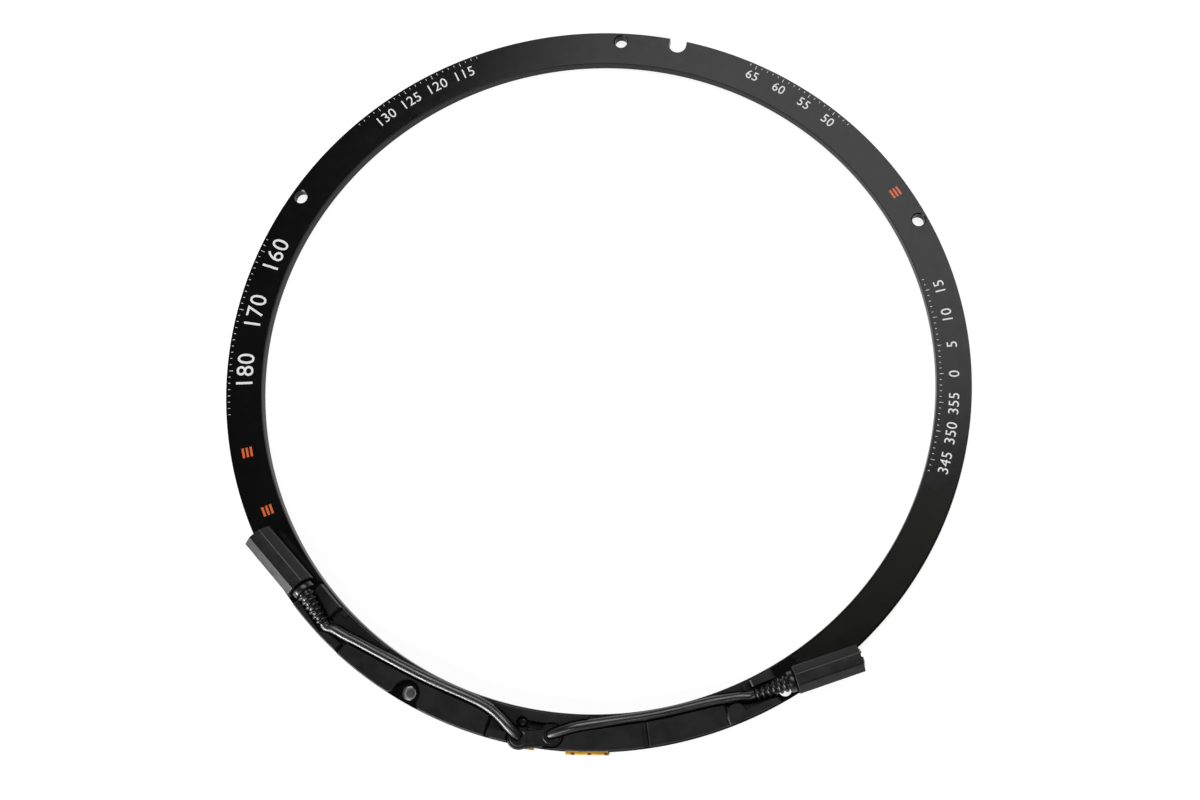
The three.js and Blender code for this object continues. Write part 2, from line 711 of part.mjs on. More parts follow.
// Pan head screw of the cap
function buildScrew() {
  const seat = plateTop + recessFloor;
  const head = seat + screwHeadHeight;
  const [wide, thin] = [screwHeadDiameter / 2, screwShankDiameter / 2];
  const body = turned([
    [0, head - screwLength], [thin, head - screwLength], [thin, seat], [wide, seat],
    [wide, head - 0.4], [wide - 0.4, head], [0, head],
  ], 20);
  return body.subtract(rod(screwDriveSize / Math.cos(Math.PI / 6), head - screwDriveDepth, head + 1, 6));
}

// Metal plug in the lower part of the pocket's hole, its top slightly dished
function buildPlug() {
  const radius = screwHoleDiameter / 2 - fitGap;
  const top = plateBottom + plugThickness;
  return turned([
    [0, plateBottom], [radius, plateBottom], [radius, top], [radius - plugRim, top], [0, top - plugDish],
  ], 20);
}

// Cable jacket from the eyelet to the strain relief
function buildCable(lead) {
  const steps = Math.round(lead.curve.getLength() / cableDiameter);
  return swept(lead.curve, cableDiameter, 8, steps);
}

// Strain relief: collar against the socket, then ribs that taper towards the cable
function buildBoot(lead) {
  const collarRadius = collarDiameter / 2;
  const collar = turned([
    [0, bootGap], [collarRadius - 0.3, bootGap], [collarRadius, bootGap + 0.3],
    [collarRadius, bootGap + collarLength - 0.4], [collarRadius - 0.4, bootGap + collarLength],
    [0, bootGap + collarLength],
  ], 20);
  const ribbed = bootLength - collarLength - bootGap;
  const last = bootLength - bootGap - 0.5;
  const profile = [[0, 0], [ribDiameterNarrow / 2 - ribGroove, 0]];
  for (let i = 0; i < ribCount; i += 1) {
    const widest = THREE.MathUtils.lerp(ribDiameterNarrow, ribDiameterWide, i / (ribCount - 1)) / 2;
    const pitch = ribbed / ribCount;
    const at = i * pitch + 0.2;
    profile.push([widest - ribGroove, at], [widest, at + 0.15], [widest, at + ribShare * pitch - 0.15]);
    profile.push([widest - ribGroove, at + ribShare * pitch]);
  }
  profile.push([ribDiameterWide / 2 - ribGroove, last], [0, last]);
  const tail = placed(lying(turned(profile, 16)), lead.tip.toArray(), lead.bootHeading, lead.pitch);
  return tail.add(placed(lying(collar), lead.rear.toArray(), lead.jackHeading + 180));
}

// Eight-sided socket body with a bore from its free end
function jackShell(boreDiameter, boreDepth, innerDiameter = 0, innerDepth = 0) {
  const circumradius = jackWidth / 2 / Math.cos(Math.PI / 8);
  const section = new THREE.CylinderGeometry(circumradius, circumradius, jackLength, 8);
  const body = solid(section.rotateY(Math.PI / 8).rotateZ(-Math.PI / 2).translate(jackLength / 2, 0, 0));
  let shell = body.subtract(lying(rod(boreDiameter, jackLength - boreDepth, jackLength + 1)));
  if (innerDepth > 0) shell = shell.subtract(lying(rod(innerDiameter, jackLength - innerDepth, jackLength)));
  return shell;
}

// Lays a piece that was turned about Z along X
function lying(shape) {
  return placed(shape, [0, 0, 0], 0, 90);
}

// A socket's group stands at the rear of the socket, its X axis towards the free end
function socketGroup(lead, pieces) {
  const group = new THREE.Group();
  group.position.copy(lead.rear);
  group.rotation.set(radians(lead.roll), 0, radians(lead.jackHeading), "ZYX");
  for (const [name, shape, material] of pieces) group.add(meshOf(name, shape, material));
  return group;
}

// Power socket: plated sleeve, insulating base and centre pin
function buildPowerSocket(lead) {
  const mouth = jackLength - 0.2;
  const bottom = jackLength - powerSleeveDepth;
  const base = bottom + bootGap;
  const pin = base + powerBaseThickness + fitGap;
  const baseDiameter = powerSleeveInner - 2 * fitGap;
  const pieces = [
    ["left_jack_body", jackShell(powerSleeveOuter + 2 * fitGap, powerSleeveDepth), jackPlastic],
    ["left_jack_sleeve", lying(tube(powerSleeveOuter, powerSleeveInner, base, mouth)), nickel],
    ["left_jack_insulator", lying(rod(baseDiameter, base, base + powerBaseThickness)), whitePlastic],
    ["left_jack_pin", lying(rod(powerPinDiameter, pin, pin + powerPinLength, 12)), contactGold],
  ];
  return socketGroup(lead, pieces);
}

// Sensor socket: nickel bushing that stands proud, insulating liner and tip contact
function buildSensorSocket(lead) {
  const front = jackLength - plugBushingLength;
  const shoulder = front - 2 * fitGap;
  const back = jackLength - plugInsulatorDepth;
  const floorAt = back + bootGap + plugInsulatorEnd;
  const bushing = lying(tube(plugBushingOuter, plugBushingInner, front, jackLength + plugBushingProud));
  const liner = lying(turned([
    [0, back + bootGap], [plugInsulatorOuter / 2, back + bootGap], [plugInsulatorOuter / 2, shoulder],
    [plugBushingInner / 2, shoulder], [plugBushingInner / 2, floorAt], [0, floorAt],
  ]));
  const contact = lying(rod(plugContactDiameter, floorAt + fitGap, floorAt + fitGap + plugContactLength, 12));
  const bore = plugBushingOuter + 2 * fitGap;
  const linerBore = plugInsulatorOuter + 2 * fitGap;
  const body = jackShell(bore, plugBushingLength + fitGap, linerBore, plugInsulatorDepth);
  const pieces = [
    ["right_jack_body", body, jackPlastic],
    ["right_jack_bushing", bushing, nickel],
    ["right_jack_insulator", liner, whitePlastic],
    ["right_jack_contact", contact, contactGold],
  ];
  return socketGroup(lead, pieces);
}

// Board that joins the film's tail, both leads and the sensor
function buildBoard() {
  const centre = [boardStart + boardLength / 2, -boardCircle, (boardBottom + boardTop) / 2];
  return box([boardLength, boardWidth, boardThickness], centre);
}

// Sensor bead on the plate's face, its two leads on the board
function buildSensor() {
  const near = boardStart + boardLength + sensorOffset;
  const leadHeight = boardTop + sensorLeadWidth / 2;
  let sensor = box(
    [sensorWidth, sensorLength, sensorHeight],
    [near + sensorWidth / 2, -boardCircle + sensorShift, plateTop + sensorHeight / 2],
  );
  const reach = sensorOffset + wireLap;
  for (const side of [-1, 1]) {
    const at = [near - reach / 2 + lap, -boardCircle + sensorShift + side * wirePitch, leadHeight];
    sensor = sensor.add(box([reach + 2 * lap, sensorLeadWidth, sensorLeadWidth], at));
  }
  return sensor;
}

// One core of a lead, from the cable's end under the grommet to its pad on the board
function buildWire(lead, side, lane) {
  const { start, along } = cableStart(lead);
  const across = new THREE.Vector3(-along.y, along.x, 0).normalize();
  const centre = polar(grommetAngle, grommetCircle);
  const slope = Math.tan(radians(grommetHeading));
  const offset = (1.5 - lane) * wirePitch;
  const laneAt = (x) => centre.y - grooveOffset + offset + (x - centre.x) * slope;
  const padY = -boardCircle + offset;
  const low = plateTop + wireGap + wireDiameter / 2 + 0.1;
  const high = boardTop + wireGap + wireDiameter / 2;
  const core = (distance) => {
    const at = start.clone().addScaledVector(along, -distance);
    return at.addScaledVector(across, side * coreOffset);
  };
  const [from, bend] = [core(wireGap + 0.1), core(cableRadius)];
  const turnY = THREE.MathUtils.lerp(bend.y, laneAt(bend.x), 0.6);
  const grooveEnd = centre.x + eyeletPitch / 2 + lobeRadius;
  const points = [
    from,
    new THREE.Vector3(bend.x, bend.y, start.z - wireDiameter),
    new THREE.Vector3(bend.x, turnY, (start.z + low) / 2 - wireGap),
    new THREE.Vector3(bend.x + wireTurn, laneAt(bend.x + wireTurn), low),
    new THREE.Vector3(grooveEnd - 2.2, laneAt(grooveEnd - 2.2), low),
    new THREE.Vector3(grooveEnd - 0.2, laneAt(grooveEnd - 0.2), low + filmThickness),
    new THREE.Vector3(boardStart - 3.4, padY, low + filmThickness),
    new THREE.Vector3(boardStart - 0.9, padY, high - 0.15),
    new THREE.Vector3(boardStart + 0.2, padY, high),
    new THREE.Vector3(boardStart + wireLap, padY, high),
  ];
  return swept(new THREE.CatmullRomCurve3(points, false, "centripetal"), wireDiameter, 6, 30);
}

// Thin label on the plate's face, its upper end cut straight across
function buildLabel() {
  const label = band(
    apertureRadius + labelInset, plateOuterRadius - labelInset, labelStart, labelStart + labelSpan,
    plateTop, plateTop + labelThickness,
  );
  return label.trimByPlane([0, -1, 0], -labelEndLine);
}

const ring = new THREE.Group();
ring.add(
  meshOf("ring_plate", buildPlate(), anodised),
  meshOf("heater_film", buildFilm(), polyimide),
  meshOf("cover_left_arm", buildLeftArm(), coverPlastic),
  meshOf("cover_cap", buildCap(), coverPlastic),
  meshOf("cover_right_arm", buildRightArm(), coverPlastic),
  meshOf("twin_grommet", buildGrommet(), grommetRubber),
  setOn(meshOf("cap_screw", buildScrew(), blackSteel), screwAngle, screwCircle),
  setOn(meshOf("hole_plug", buildPlug(), bareSteel), pocketAngle, holeCircleRadius),
  meshOf("left_cable", buildCable(leftLead), cableJacket),
  meshOf("right_cable", buildCable(rightLead), cableJacket),
  meshOf("left_strain_relief", buildBoot(leftLead), bootPlastic),
  meshOf("right_strain_relief", buildBoot(rightLead), bootPlastic),
  buildPowerSocket(leftLead),
  buildSensorSocket(rightLead),
  meshOf("junction_board", buildBoard(), boardLaminate),
  meshOf("thermistor", buildSensor(), sensorEpoxy),
  meshOf("left_wire_a", buildWire(leftLead, 1, 3), redWire),
  meshOf("left_wire_b", buildWire(leftLead, -1, 2), blackWire),
  meshOf("right_wire_a", buildWire(rightLead, 1, 0), redWire),
  meshOf("right_wire_b", buildWire(rightLead, -1, 1), blackWire),
  meshOf("blank_label", buildLabel(), labelFilm),
);

export default ring;
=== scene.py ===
"""A dew heater ring for the front cell of a 203 mm aperture telescope, dressed for a studio picture.

The fixed frame gives the solids of the ring, its wiring cover, the grommet, the two leads and their
line sockets. Each sub-assembly is a class that builds its finer meshes in place and dresses them. Sizes
are in millimetres.
"""

from __future__ import annotations

import logging
import math
from dataclasses import dataclass, field
from enum import Enum
from typing import Iterable, Sequence

import bmesh
import bpy
from mathutils import Matrix, Vector

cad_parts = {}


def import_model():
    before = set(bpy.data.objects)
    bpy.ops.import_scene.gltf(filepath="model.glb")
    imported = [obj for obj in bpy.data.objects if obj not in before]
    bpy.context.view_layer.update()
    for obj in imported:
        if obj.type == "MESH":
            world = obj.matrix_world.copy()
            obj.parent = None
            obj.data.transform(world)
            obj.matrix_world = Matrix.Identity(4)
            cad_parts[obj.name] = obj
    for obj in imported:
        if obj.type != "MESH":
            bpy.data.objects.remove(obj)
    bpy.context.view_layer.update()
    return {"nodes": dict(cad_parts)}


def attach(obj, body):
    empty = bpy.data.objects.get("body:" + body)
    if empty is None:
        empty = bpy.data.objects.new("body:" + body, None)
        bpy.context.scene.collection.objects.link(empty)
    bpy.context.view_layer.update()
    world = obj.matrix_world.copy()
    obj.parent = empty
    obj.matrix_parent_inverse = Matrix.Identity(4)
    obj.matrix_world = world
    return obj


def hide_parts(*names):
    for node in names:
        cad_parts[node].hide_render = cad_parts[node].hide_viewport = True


LOG = logging.getLogger("dew_heater_ring")
MM = 0.001
BODY = "root"
Point = tuple[float, float, float]


class Slot(Enum):
    """Material slots of the record."""

    ANODISED = "anodised"
    POLYIMIDE = "polyimide"
    COVER = "cover_plastic"
    GROMMET = "grommet_rubber"
    BLACK_STEEL = "black_steel"
    BARE_STEEL = "bare_steel"
    CABLE = "cable_jacket"
    BOOT = "boot_plastic"
    JACK = "jack_plastic"
    NICKEL = "nickel"
    GOLD = "contact_gold"
    WHITE = "white_plastic"
    BOARD = "board_laminate"
    EPOXY = "sensor_epoxy"
    RED_WIRE = "red_wire"
    BLACK_WIRE = "black_wire"
    LABEL = "label_film"


def polar(angle: float, radius: float, height: float = 0.0) -> Vector:
    """Point of the ring in metres.

    Args:
        angle: Degrees anticlockwise from +X, seen from above.
        radius: Distance from the axis in millimetres.
        height: Height above the resting surface in millimetres.

    Returns:
        The point in metres.
    """
    turn = math.radians(angle)
    return Vector((radius * math.cos(turn), radius * math.sin(turn), height)) * MM


def closed_spin(profile: Sequence[tuple[float, float]], steps: int) -> bmesh.types.BMesh:
    """Turns a profile about Z into a closed shape.

    Args:
        profile: Radius and height pairs in millimetres; it closes on itself unless it ends on the axis.
        steps: Number of steps of the full turn.

    Returns:
        The turned shape, in metres.
    """
    bm = bmesh.new()
    verts = [bm.verts.new((radius * MM, 0.0, height * MM)) for radius, height in profile]
    edges = [bm.edges.new(pair) for pair in zip(verts, verts[1:])]
    if profile[0][0] > 0:
        edges.append(bm.edges.new((verts[-1], verts[0])))
    bmesh.ops.spin(
        bm, geom=verts + edges, cent=(0, 0, 0), axis=(0, 0, 1), angle=2 * math.pi, steps=steps,
        use_merge=True,
    )
    bmesh.ops.remove_doubles(bm, verts=bm.verts, dist=1e-7)
    bmesh.ops.recalc_face_normals(bm, faces=bm.faces)
    return bm


def rounded(corners: Sequence[tuple[float, float, float]], steps: int = 3) -> list[tuple[float, float]]:
    """A closed profile with rounded corners.

    Args:
        corners: Radius, height and corner radius of each corner, in order.
        steps: Points on each rounded corner, less one.

    Returns:
        The profile's points.
    """
    points: list[tuple[float, float]] = []
    for index, (x, y, radius) in enumerate(corners):
        if radius <= 0:
            points.append((x, y))
            continue
        here = Vector((x, y))
        before = (Vector(corners[index - 1][:2]) - here).normalized() * radius
        after = (Vector(corners[(index + 1) % len(corners)][:2]) - here).normalized() * radius
        for step in range(steps + 1):
            share = step / steps
            a = here + before * (1 - share)
            b = here + after * share
            point = a.lerp(b, share)
            points.append((point.x, point.y))
    return points


def placement(at: Vector, heading: float = 0.0, pitch: float = 0.0, roll: float = 0.0) -> Matrix:
    """Matrix that lays a piece's X axis along a heading.

    Args:
        at: Where the piece's origin goes, in metres.
        heading: Turn about Z in degrees.
        pitch: Turn about the new Y in degrees; negative points up.
        roll: Turn about the piece's own X in degrees.

    Returns:
        The placement.
    """
    turn = Matrix.Rotation(math.radians(heading), 4, "Z")
    turn @= Matrix.Rotation(math.radians(pitch), 4, "Y")
    turn @= Matrix.Rotation(math.radians(roll), 4, "X")
    return Matrix.Translation(at) @ turn


LIE_DOWN = Matrix.Rotation(math.radians(90), 4, "Y")


def moved(bm: bmesh.types.BMesh, matrix: Matrix) -> bmesh.types.BMesh:
    """The same mesh, moved by a matrix."""
    bmesh.ops.transform(bm, matrix=matrix, verts=bm.verts)
    return bm


def merged(*parts: bmesh.types.BMesh) -> bmesh.types.BMesh:
    """Several meshes as one, without joining their surfaces.

    Args:
        parts: The meshes. They are freed.

    Returns:
        A new mesh that holds them all.
    """
    whole = bmesh.new()
    for part in parts:
        mesh = bpy.data.meshes.new("part")
        part.to_mesh(mesh)
        part.free()
        whole.from_mesh(mesh)
        bpy.data.meshes.remove(mesh)
    return whole


def prism(outline: Sequence[tuple[float, float]], bottom: float, top: float) -> bmesh.types.BMesh:
    """Extrudes a flat outline.

    Args:
        outline: Points in millimetres, anticlockwise.
        bottom: Lower height in millimetres.
        top: Upper height in millimetres.

    Returns:
        The prism, in metres.
    """
    bm = bmesh.new()
    face = bm.faces.new([bm.verts.new((x * MM, y * MM, bottom * MM)) for x, y in outline])
    grown = bmesh.ops.extrude_face_region(bm, geom=[face])["geom"]
    lifted = [item for item in grown if isinstance(item, bmesh.types.BMVert)]
    bmesh.ops.translate(bm, verts=lifted, vec=(0, 0, (top - bottom) * MM))
    bmesh.ops.recalc_face_normals(bm, faces=bm.faces)
    return bm


def round_edges(
    bm: bmesh.types.BMesh, width: float, angle: float = 30.0, segments: int = 2
) -> bmesh.types.BMesh:
    """Rounds the edges that are sharper than an angle.

    Args:
        bm: The mesh to change.
        width: Width of the rounding in millimetres.
        angle: Edges that turn less than this many degrees stay.
        segments: Faces across each rounding.

    Returns:
        The same mesh.
    """
    limit = math.radians(angle)
    sharp = [e for e in bm.edges if len(e.link_faces) == 2 and e.calc_face_angle(0) > limit]
    bmesh.ops.bevel(
        bm, geom=sharp, offset=width * MM, affect="EDGES", segments=segments, profile=0.5,
        material=-1, clamp_overlap=True, harden_normals=False,
    )
    return bm


class Shader:
    """A material's nodes while they are being made."""

    def __init__(self, name: str) -> None:
        """Starts a material with a principled shader and Object coordinates."""
        self.material = bpy.data.materials.new(name)
        self.material.use_nodes = True
        self.tree = self.material.node_tree
        self.tree.nodes.clear()
        self.bsdf = self.node("ShaderNodeBsdfPrincipled")
        output = self.node("ShaderNodeOutputMaterial")
        self.link(self.bsdf.outputs[0], output.inputs["Surface"])
        self.coords = self.node("ShaderNodeTexCoord").outputs["Object"]

    def node(self, kind: str, **settings: object) -> bpy.types.Node:
        """Adds a node.

        Args:
            kind: The node's type.
            settings: Its properties.

        Returns:
            The node.
        """
        made = self.tree.nodes.new(kind)
        for key, value in settings.items():
            setattr(made, key, value)
        return made

    def link(self, source: bpy.types.NodeSocket, target: bpy.types.NodeSocket) -> None:
        """Joins two sockets."""
        self.tree.links.new(source, target)

    def feed(self, socket: bpy.types.NodeSocket, value: object) -> None:
        """Links a socket to another, or sets it to a plain value.

        Args:
            socket: The input to feed.
            value: A socket or a plain value.
        """
        if isinstance(value, bpy.types.NodeSocket):
            self.link(value, socket)
        else:
            socket.default_value = value

    def math(
        self, operation: str, a: object, b: object = 0.0, c: object = 0.0
    ) -> bpy.types.NodeSocket:
        """A Math node's result.

        Args:
            operation: The node's operation.
            a: First value or socket.
            b: Second value or socket.
            c: Third value or socket.

        Returns:
            The result's socket.
        """
        made = self.node("ShaderNodeMath", operation=operation)
        for socket, value in zip(made.inputs, (a, b, c)):
            self.feed(socket, value)
        return made.outputs[0]

    def noise(
        self, size: float, detail: float = 3.0, roughness: float = 0.55, stretch: Point | None = None
    ) -> bpy.types.NodeSocket:
        """Noise in Object coordinates.

        Args:
            size: About how wide its patches are, in millimetres.
            detail: Octaves.
            roughness: Weight of the finer octaves.
            stretch: Scale of the coordinates along each axis.

        Returns:
            The factor's socket.
        """
        made = self.node("ShaderNodeTexNoise")
        made.inputs["Scale"].default_value = 1.0 / (size * MM)
        made.inputs["Detail"].default_value = detail
        made.inputs["Roughness"].default_value = roughness
        source = self.coords
        if stretch:
            mapping = self.node("ShaderNodeMapping")
            mapping.inputs["Scale"].default_value = stretch
            self.link(self.coords, mapping.inputs["Vector"])
            source = mapping.outputs[0]
        self.link(source, made.inputs["Vector"])
        return made.outputs["Fac"]

    def between(
        self, factor: object, low: float, high: float, start: float = 0.3, stop: float = 0.7
    ) -> bpy.types.NodeSocket:
        """Maps a factor's span onto another, clamped.

        Args:
            factor: Value or socket to map.
            low: Output at the start of the span.
            high: Output at its end.
            start: Start of the factor's span.
            stop: End of the factor's span.

        Returns:
            The result's socket.
        """
        made = self.node("ShaderNodeMapRange")
        self.feed(made.inputs["Value"], factor)
        for key, value in (("From Min", start), ("From Max", stop), ("To Min", low), ("To Max", high)):
            made.inputs[key].default_value = value
        return made.outputs[0]

    def blend(
        self, factor: object, a: object, b: object, kind: str = "MIX"
    ) -> bpy.types.NodeSocket:
        """Mixes two colours.

        Args:
            factor: Share of the second colour, or its socket.
            a: First colour or socket.
            b: Second colour or socket.
            kind: The blend type.

        Returns:
            The colour's socket.
        """
        made = self.node("ShaderNodeMix", data_type="RGBA", blend_type=kind)
        self.feed(made.inputs["Factor"], factor)
        for socket, value in zip([s for s in made.inputs if s.type == "RGBA"], (a, b)):
            self.feed(socket, (*value, 1.0) if isinstance(value, tuple) else value)
        return next(s for s in made.outputs if s.type == "RGBA")

    def bump(self, height: bpy.types.NodeSocket, distance: float, strength: float = 1.0) -> None:
        """Adds relief under the shader's normal.

        Args:
            height: Socket of the height, from 0 to 1.
            distance: Depth of the relief in millimetres.
            strength: Share of the relief that is used.
        """
        made = self.node("ShaderNodeBump")
        made.inputs["Strength"].default_value = strength
        made.inputs["Distance"].default_value = distance * MM
        self.link(height, made.inputs["Height"])
        before = self.bsdf.inputs["Normal"]
        if before.is_linked:
            self.link(before.links[0].from_socket, made.inputs["Normal"])
        self.link(made.outputs[0], before)


@dataclass(frozen=True)
class Finish:
    """A surface with colour patches, roughness patches and fine grain."""

    name: str
    slot: Slot
    colour: Point
    roughness: float
    metallic: float = 0.0
    specular: float = 0.5
    patch: float = 0.18
    patch_size: float = 9.0
    uneven: float = 0.07
    grain: float = 0.012
    grain_size: float = 0.25
    coat: float = 0.0
    sheen: float = 0.0

    def build(self) -> bpy.types.Material:
        """Makes the material once and hands it out again later.

        Returns:
            The material.
        """
        known = bpy.data.materials.get(self.name)
        if known:
            return known
        shader = Shader(self.name)
        shader.bsdf.inputs["Metallic"].default_value = self.metallic
        shader.bsdf.inputs["Specular IOR Level"].default_value = self.specular
        shader.bsdf.inputs["Coat Weight"].default_value = self.coat
        shader.bsdf.inputs["Coat Roughness"].default_value = 0.12
        shader.bsdf.inputs["Sheen Weight"].default_value = self.sheen
        self.dress(shader)
        return shader.material

    def dress(self, shader: Shader) -> None:
        """Colour, roughness and relief.

        Args:
            shader: The material's nodes.
        """
        patches = shader.noise(self.patch_size, 4.0)
        speckle = shader.noise(self.grain_size, 2.0, 0.7)
        dark = tuple(c * (1 - self.patch) for c in self.colour)
        light = tuple(min(1.0, c * (1 + self.patch)) for c in self.colour)
        tint = shader.blend(shader.between(patches, 0.0, 1.0), dark, light)
        fleck = shader.between(speckle, 0.86, 1.14)
        grey = shader.node("ShaderNodeCombineColor")
        for channel in grey.inputs:
            shader.link(fleck, channel)
        colour = shader.blend(1.0, tint, grey.outputs[0], "MULTIPLY")
        shader.link(colour, shader.bsdf.inputs["Base Color"])
        wear = shader.noise(self.patch_size * 0.45, 5.0)
        rough = shader.between(wear, self.roughness - self.uneven, self.roughness + self.uneven)
        shader.link(rough, shader.bsdf.inputs["Roughness"])
        if self.grain > 0:
            shader.bump(speckle, self.grain)


@dataclass(frozen=True)
class PlatedFinish(Finish):
    """Bare or plated metal with fine turning lines along one axis."""

    line_size: float = 0.12
    stretch: Point = (1.0, 1.0, 12.0)

    def dress(self, shader: Shader) -> None:
        """Adds the turning lines to the plain dressing."""
        super().dress(shader)
        shader.bump(shader.noise(self.line_size, 1.0, 0.5, self.stretch), 0.004)


@dataclass(frozen=True)
class FilmFinish(Finish):
    """Amber film over a copper track that winds to and fro across the band."""

    copper: Point = (0.62, 0.27, 0.09)
    turns: float = 150.0
    middle_radius: float = 106.5
    reach: float = 1.55
    mark: Point = (0.1, 0.03, 0.008)
    fold_offset: float = 7.5

    def dress(self, shader: Shader) -> None:
        """Amber ground with the track showing through, and brown marks on the folded tail.

        Args:
            shader: The material's nodes.
        """
        super().dress(shader)
        split = shader.node("ShaderNodeSeparateXYZ")
        shader.link(shader.coords, split.inputs[0])
        x, y = split.outputs[0], split.outputs[1]
        angle = shader.math("ARCTAN2", y, x)
        square = shader.math("ADD", shader.math("MULTIPLY", x, x), shader.math("MULTIPLY", y, y))
        offset = shader.math("SUBTRACT", shader.math("SQRT", square), self.middle_radius * MM)
        wave = shader.math("SINE", shader.math("MULTIPLY", angle, self.turns))
        square_wave = shader.math("TANH", shader.math("MULTIPLY", wave, 6.0))
        rounded_wave = shader.math("MULTIPLY", square_wave, self.reach * MM)
        run = shader.math("ABSOLUTE", shader.math("SUBTRACT", offset, rounded_wave))
        ends = shader.between(run, 1.0, 0.0, 0.28 * MM, 0.4 * MM)
        cross = shader.between(shader.math("ABSOLUTE", wave), 1.0, 0.0, 0.2, 0.32)
        away = shader.math("ABSOLUTE", offset)
        inside = shader.between(away, 1.0, 0.0, self.reach * MM, (self.reach + 0.15) * MM)
        track = shader.math("MAXIMUM", ends, shader.math("MULTIPLY", cross, inside))
        base = shader.bsdf.inputs["Base Color"].links[0].from_socket
        colour = shader.blend(shader.math("MULTIPLY", track, 0.65), base, self.copper)
        fold_start, fold_stop = self.fold_offset * MM, (self.fold_offset + 0.2) * MM
        folded = shader.between(offset, 0.0, 1.0, fold_start, fold_stop)
        marks = shader.math("MULTIPLY", shader.between(wave, 0.0, 1.0, 0.7, 0.85), folded)
        colour = shader.blend(marks, colour, self.mark)
        shader.link(colour, shader.bsdf.inputs["Base Color"])
        shader.bump(track, 0.03)


@dataclass(frozen=True)
class PaintedShadeDiscFinish(Finish):
    """Dull metal disc whose middle is darkened by painted shade, against a brighter rim."""

    centre: Point = (0.0, 0.0, 0.0)
    inner: float = 1.1
    outer: float = 1.5
    # middle: grey of the painted shade in the disc's middle.
    middle: Point = (0.2, 0.2, 0.205)

    def dress(self, shader: Shader) -> None:
        """Rim in the metal's grey, and a darker painted shade in the middle.

        Args:
            shader: The material's nodes.
        """
        super().dress(shader)
        away = shader.node("ShaderNodeVectorMath", operation="DISTANCE")
        shader.link(shader.coords, away.inputs[0])
        away.inputs[1].default_value = self.centre
        base = shader.bsdf.inputs["Base Color"].links[0].from_socket
        # Painted shade: blends from the dark middle grey to the rim's grey between the inner and outer
        # radius.
        share = shader.between(away.outputs["Value"], 0.0, 1.0, self.inner * MM, self.outer * MM)
        shader.link(shader.blend(share, self.middle, base), shader.bsdf.inputs["Base Color"])


@dataclass(frozen=True)
class BoardFinish(Finish):
    """Green solder mask over copper tracks, with bright pads."""

    track: Point = (0.05, 0.24, 0.1)

    def dress(self, shader: Shader) -> None:
        """Tracks as bands of a wave.

        Args:
            shader: The material's nodes.
        """
        super().dress(shader)
        wave = shader.node("ShaderNodeTexWave", wave_type="BANDS", bands_direction="Y", wave_profile="SAW")
        wave.inputs["Scale"].default_value = 400.0
        wave.inputs["Distortion"].default_value = 0.6
        shader.link(shader.coords, wave.inputs["Vector"])
        base = shader.bsdf.inputs["Base Color"].links[0].from_socket
        mask = shader.between(wave.outputs["Fac"], 0.0, 1.0, 0.62, 0.68)
        shader.link(shader.blend(mask, base, self.track), shader.bsdf.inputs["Base Color"])
        shader.bump(mask, 0.02)


ANODISED = Finish(
    "black_anodised", Slot.ANODISED, (0.0034, 0.0034, 0.0035), 0.24, specular=0.2, patch=0.2,
    uneven=0.03, grain=0.01,
)
BARE_ALUMINIUM = PlatedFinish(
    "bare_aluminium", Slot.ANODISED, (0.78, 0.78, 0.79), 0.3, metallic=1.0, patch=0.06, grain=0.003
)
AMBER_FILM = FilmFinish(
    "amber_film", Slot.POLYIMIDE, (0.8, 0.44, 0.07), 0.24, patch=0.2, patch_size=4.0, grain=0.004,
    coat=0.4,
)
COVER_PLASTIC = Finish(
    "cover_black", Slot.COVER, (0.0052, 0.0052, 0.0055), 0.42, specular=0.4, patch=0.15, grain=0.014,
    grain_size=0.3,
)
GROMMET_RUBBER = Finish(
    "grommet_black", Slot.GROMMET, (0.007, 0.007, 0.0073), 0.32, specular=0.6, patch=0.2, grain=0.01
)
BLACK_STEEL = PlatedFinish(
    "black_oxide", Slot.BLACK_STEEL, (0.012, 0.012, 0.013), 0.34, specular=0.6, grain=0.004
)
CABLE_JACKET = Finish(
    "cable_black", Slot.CABLE, (0.005, 0.005, 0.0052), 0.33, specular=1.0, patch=0.12, grain=0.0
)
BOOT_PLASTIC = Finish(
    "boot_black", Slot.BOOT, (0.006, 0.006, 0.0062), 0.3, specular=0.6, patch=0.15, grain=0.004,
    grain_size=0.35,
)
JACK_PLASTIC = Finish(
    "socket_black", Slot.JACK, (0.0045, 0.0045, 0.0047), 0.36, specular=0.5, patch=0.15, grain=0.016,
    grain_size=0.35,
)
NICKEL = PlatedFinish(
    "nickel_plate", Slot.NICKEL, (0.8, 0.78, 0.74), 0.18, metallic=1.0, patch=0.05, grain=0.0
)
GOLD = PlatedFinish(
    "contact_plate", Slot.GOLD, (0.8, 0.58, 0.26), 0.22, metallic=1.0, patch=0.06, grain=0.0
)
WHITE_PLASTIC = Finish(
    "insulator_white", Slot.WHITE, (0.7, 0.7, 0.66), 0.42, patch=0.06, grain=0.006
)
BOARD = BoardFinish(
    "board_green", Slot.BOARD, (0.02, 0.13, 0.05), 0.32, patch=0.1, grain=0.0, coat=0.3
)
EPOXY = Finish(
    "sensor_epoxy", Slot.EPOXY, (0.015, 0.022, 0.034), 0.25, patch=0.2, patch_size=1.0, grain=0.01
)
RED_WIRE = Finish("wire_red", Slot.RED_WIRE, (0.4, 0.025, 0.018), 0.3, patch=0.1, grain=0.003)
BLACK_WIRE = Finish("wire_black", Slot.BLACK_WIRE, (0.01, 0.01, 0.011), 0.3, patch=0.1, grain=0.003)
LABEL_FILM = Finish(
    "label_dark", Slot.LABEL, (0.0052, 0.0062, 0.0038), 0.4, specular=0.16, patch=0.12, grain=0.006,
    grain_size=0.4,
)
WHITE_INK = Finish(
    "ink_white", Slot.ANODISED, (0.82, 0.82, 0.83), 0.5, patch=0.05, patch_size=2.0, grain=0.006,
    grain_size=0.15,
)
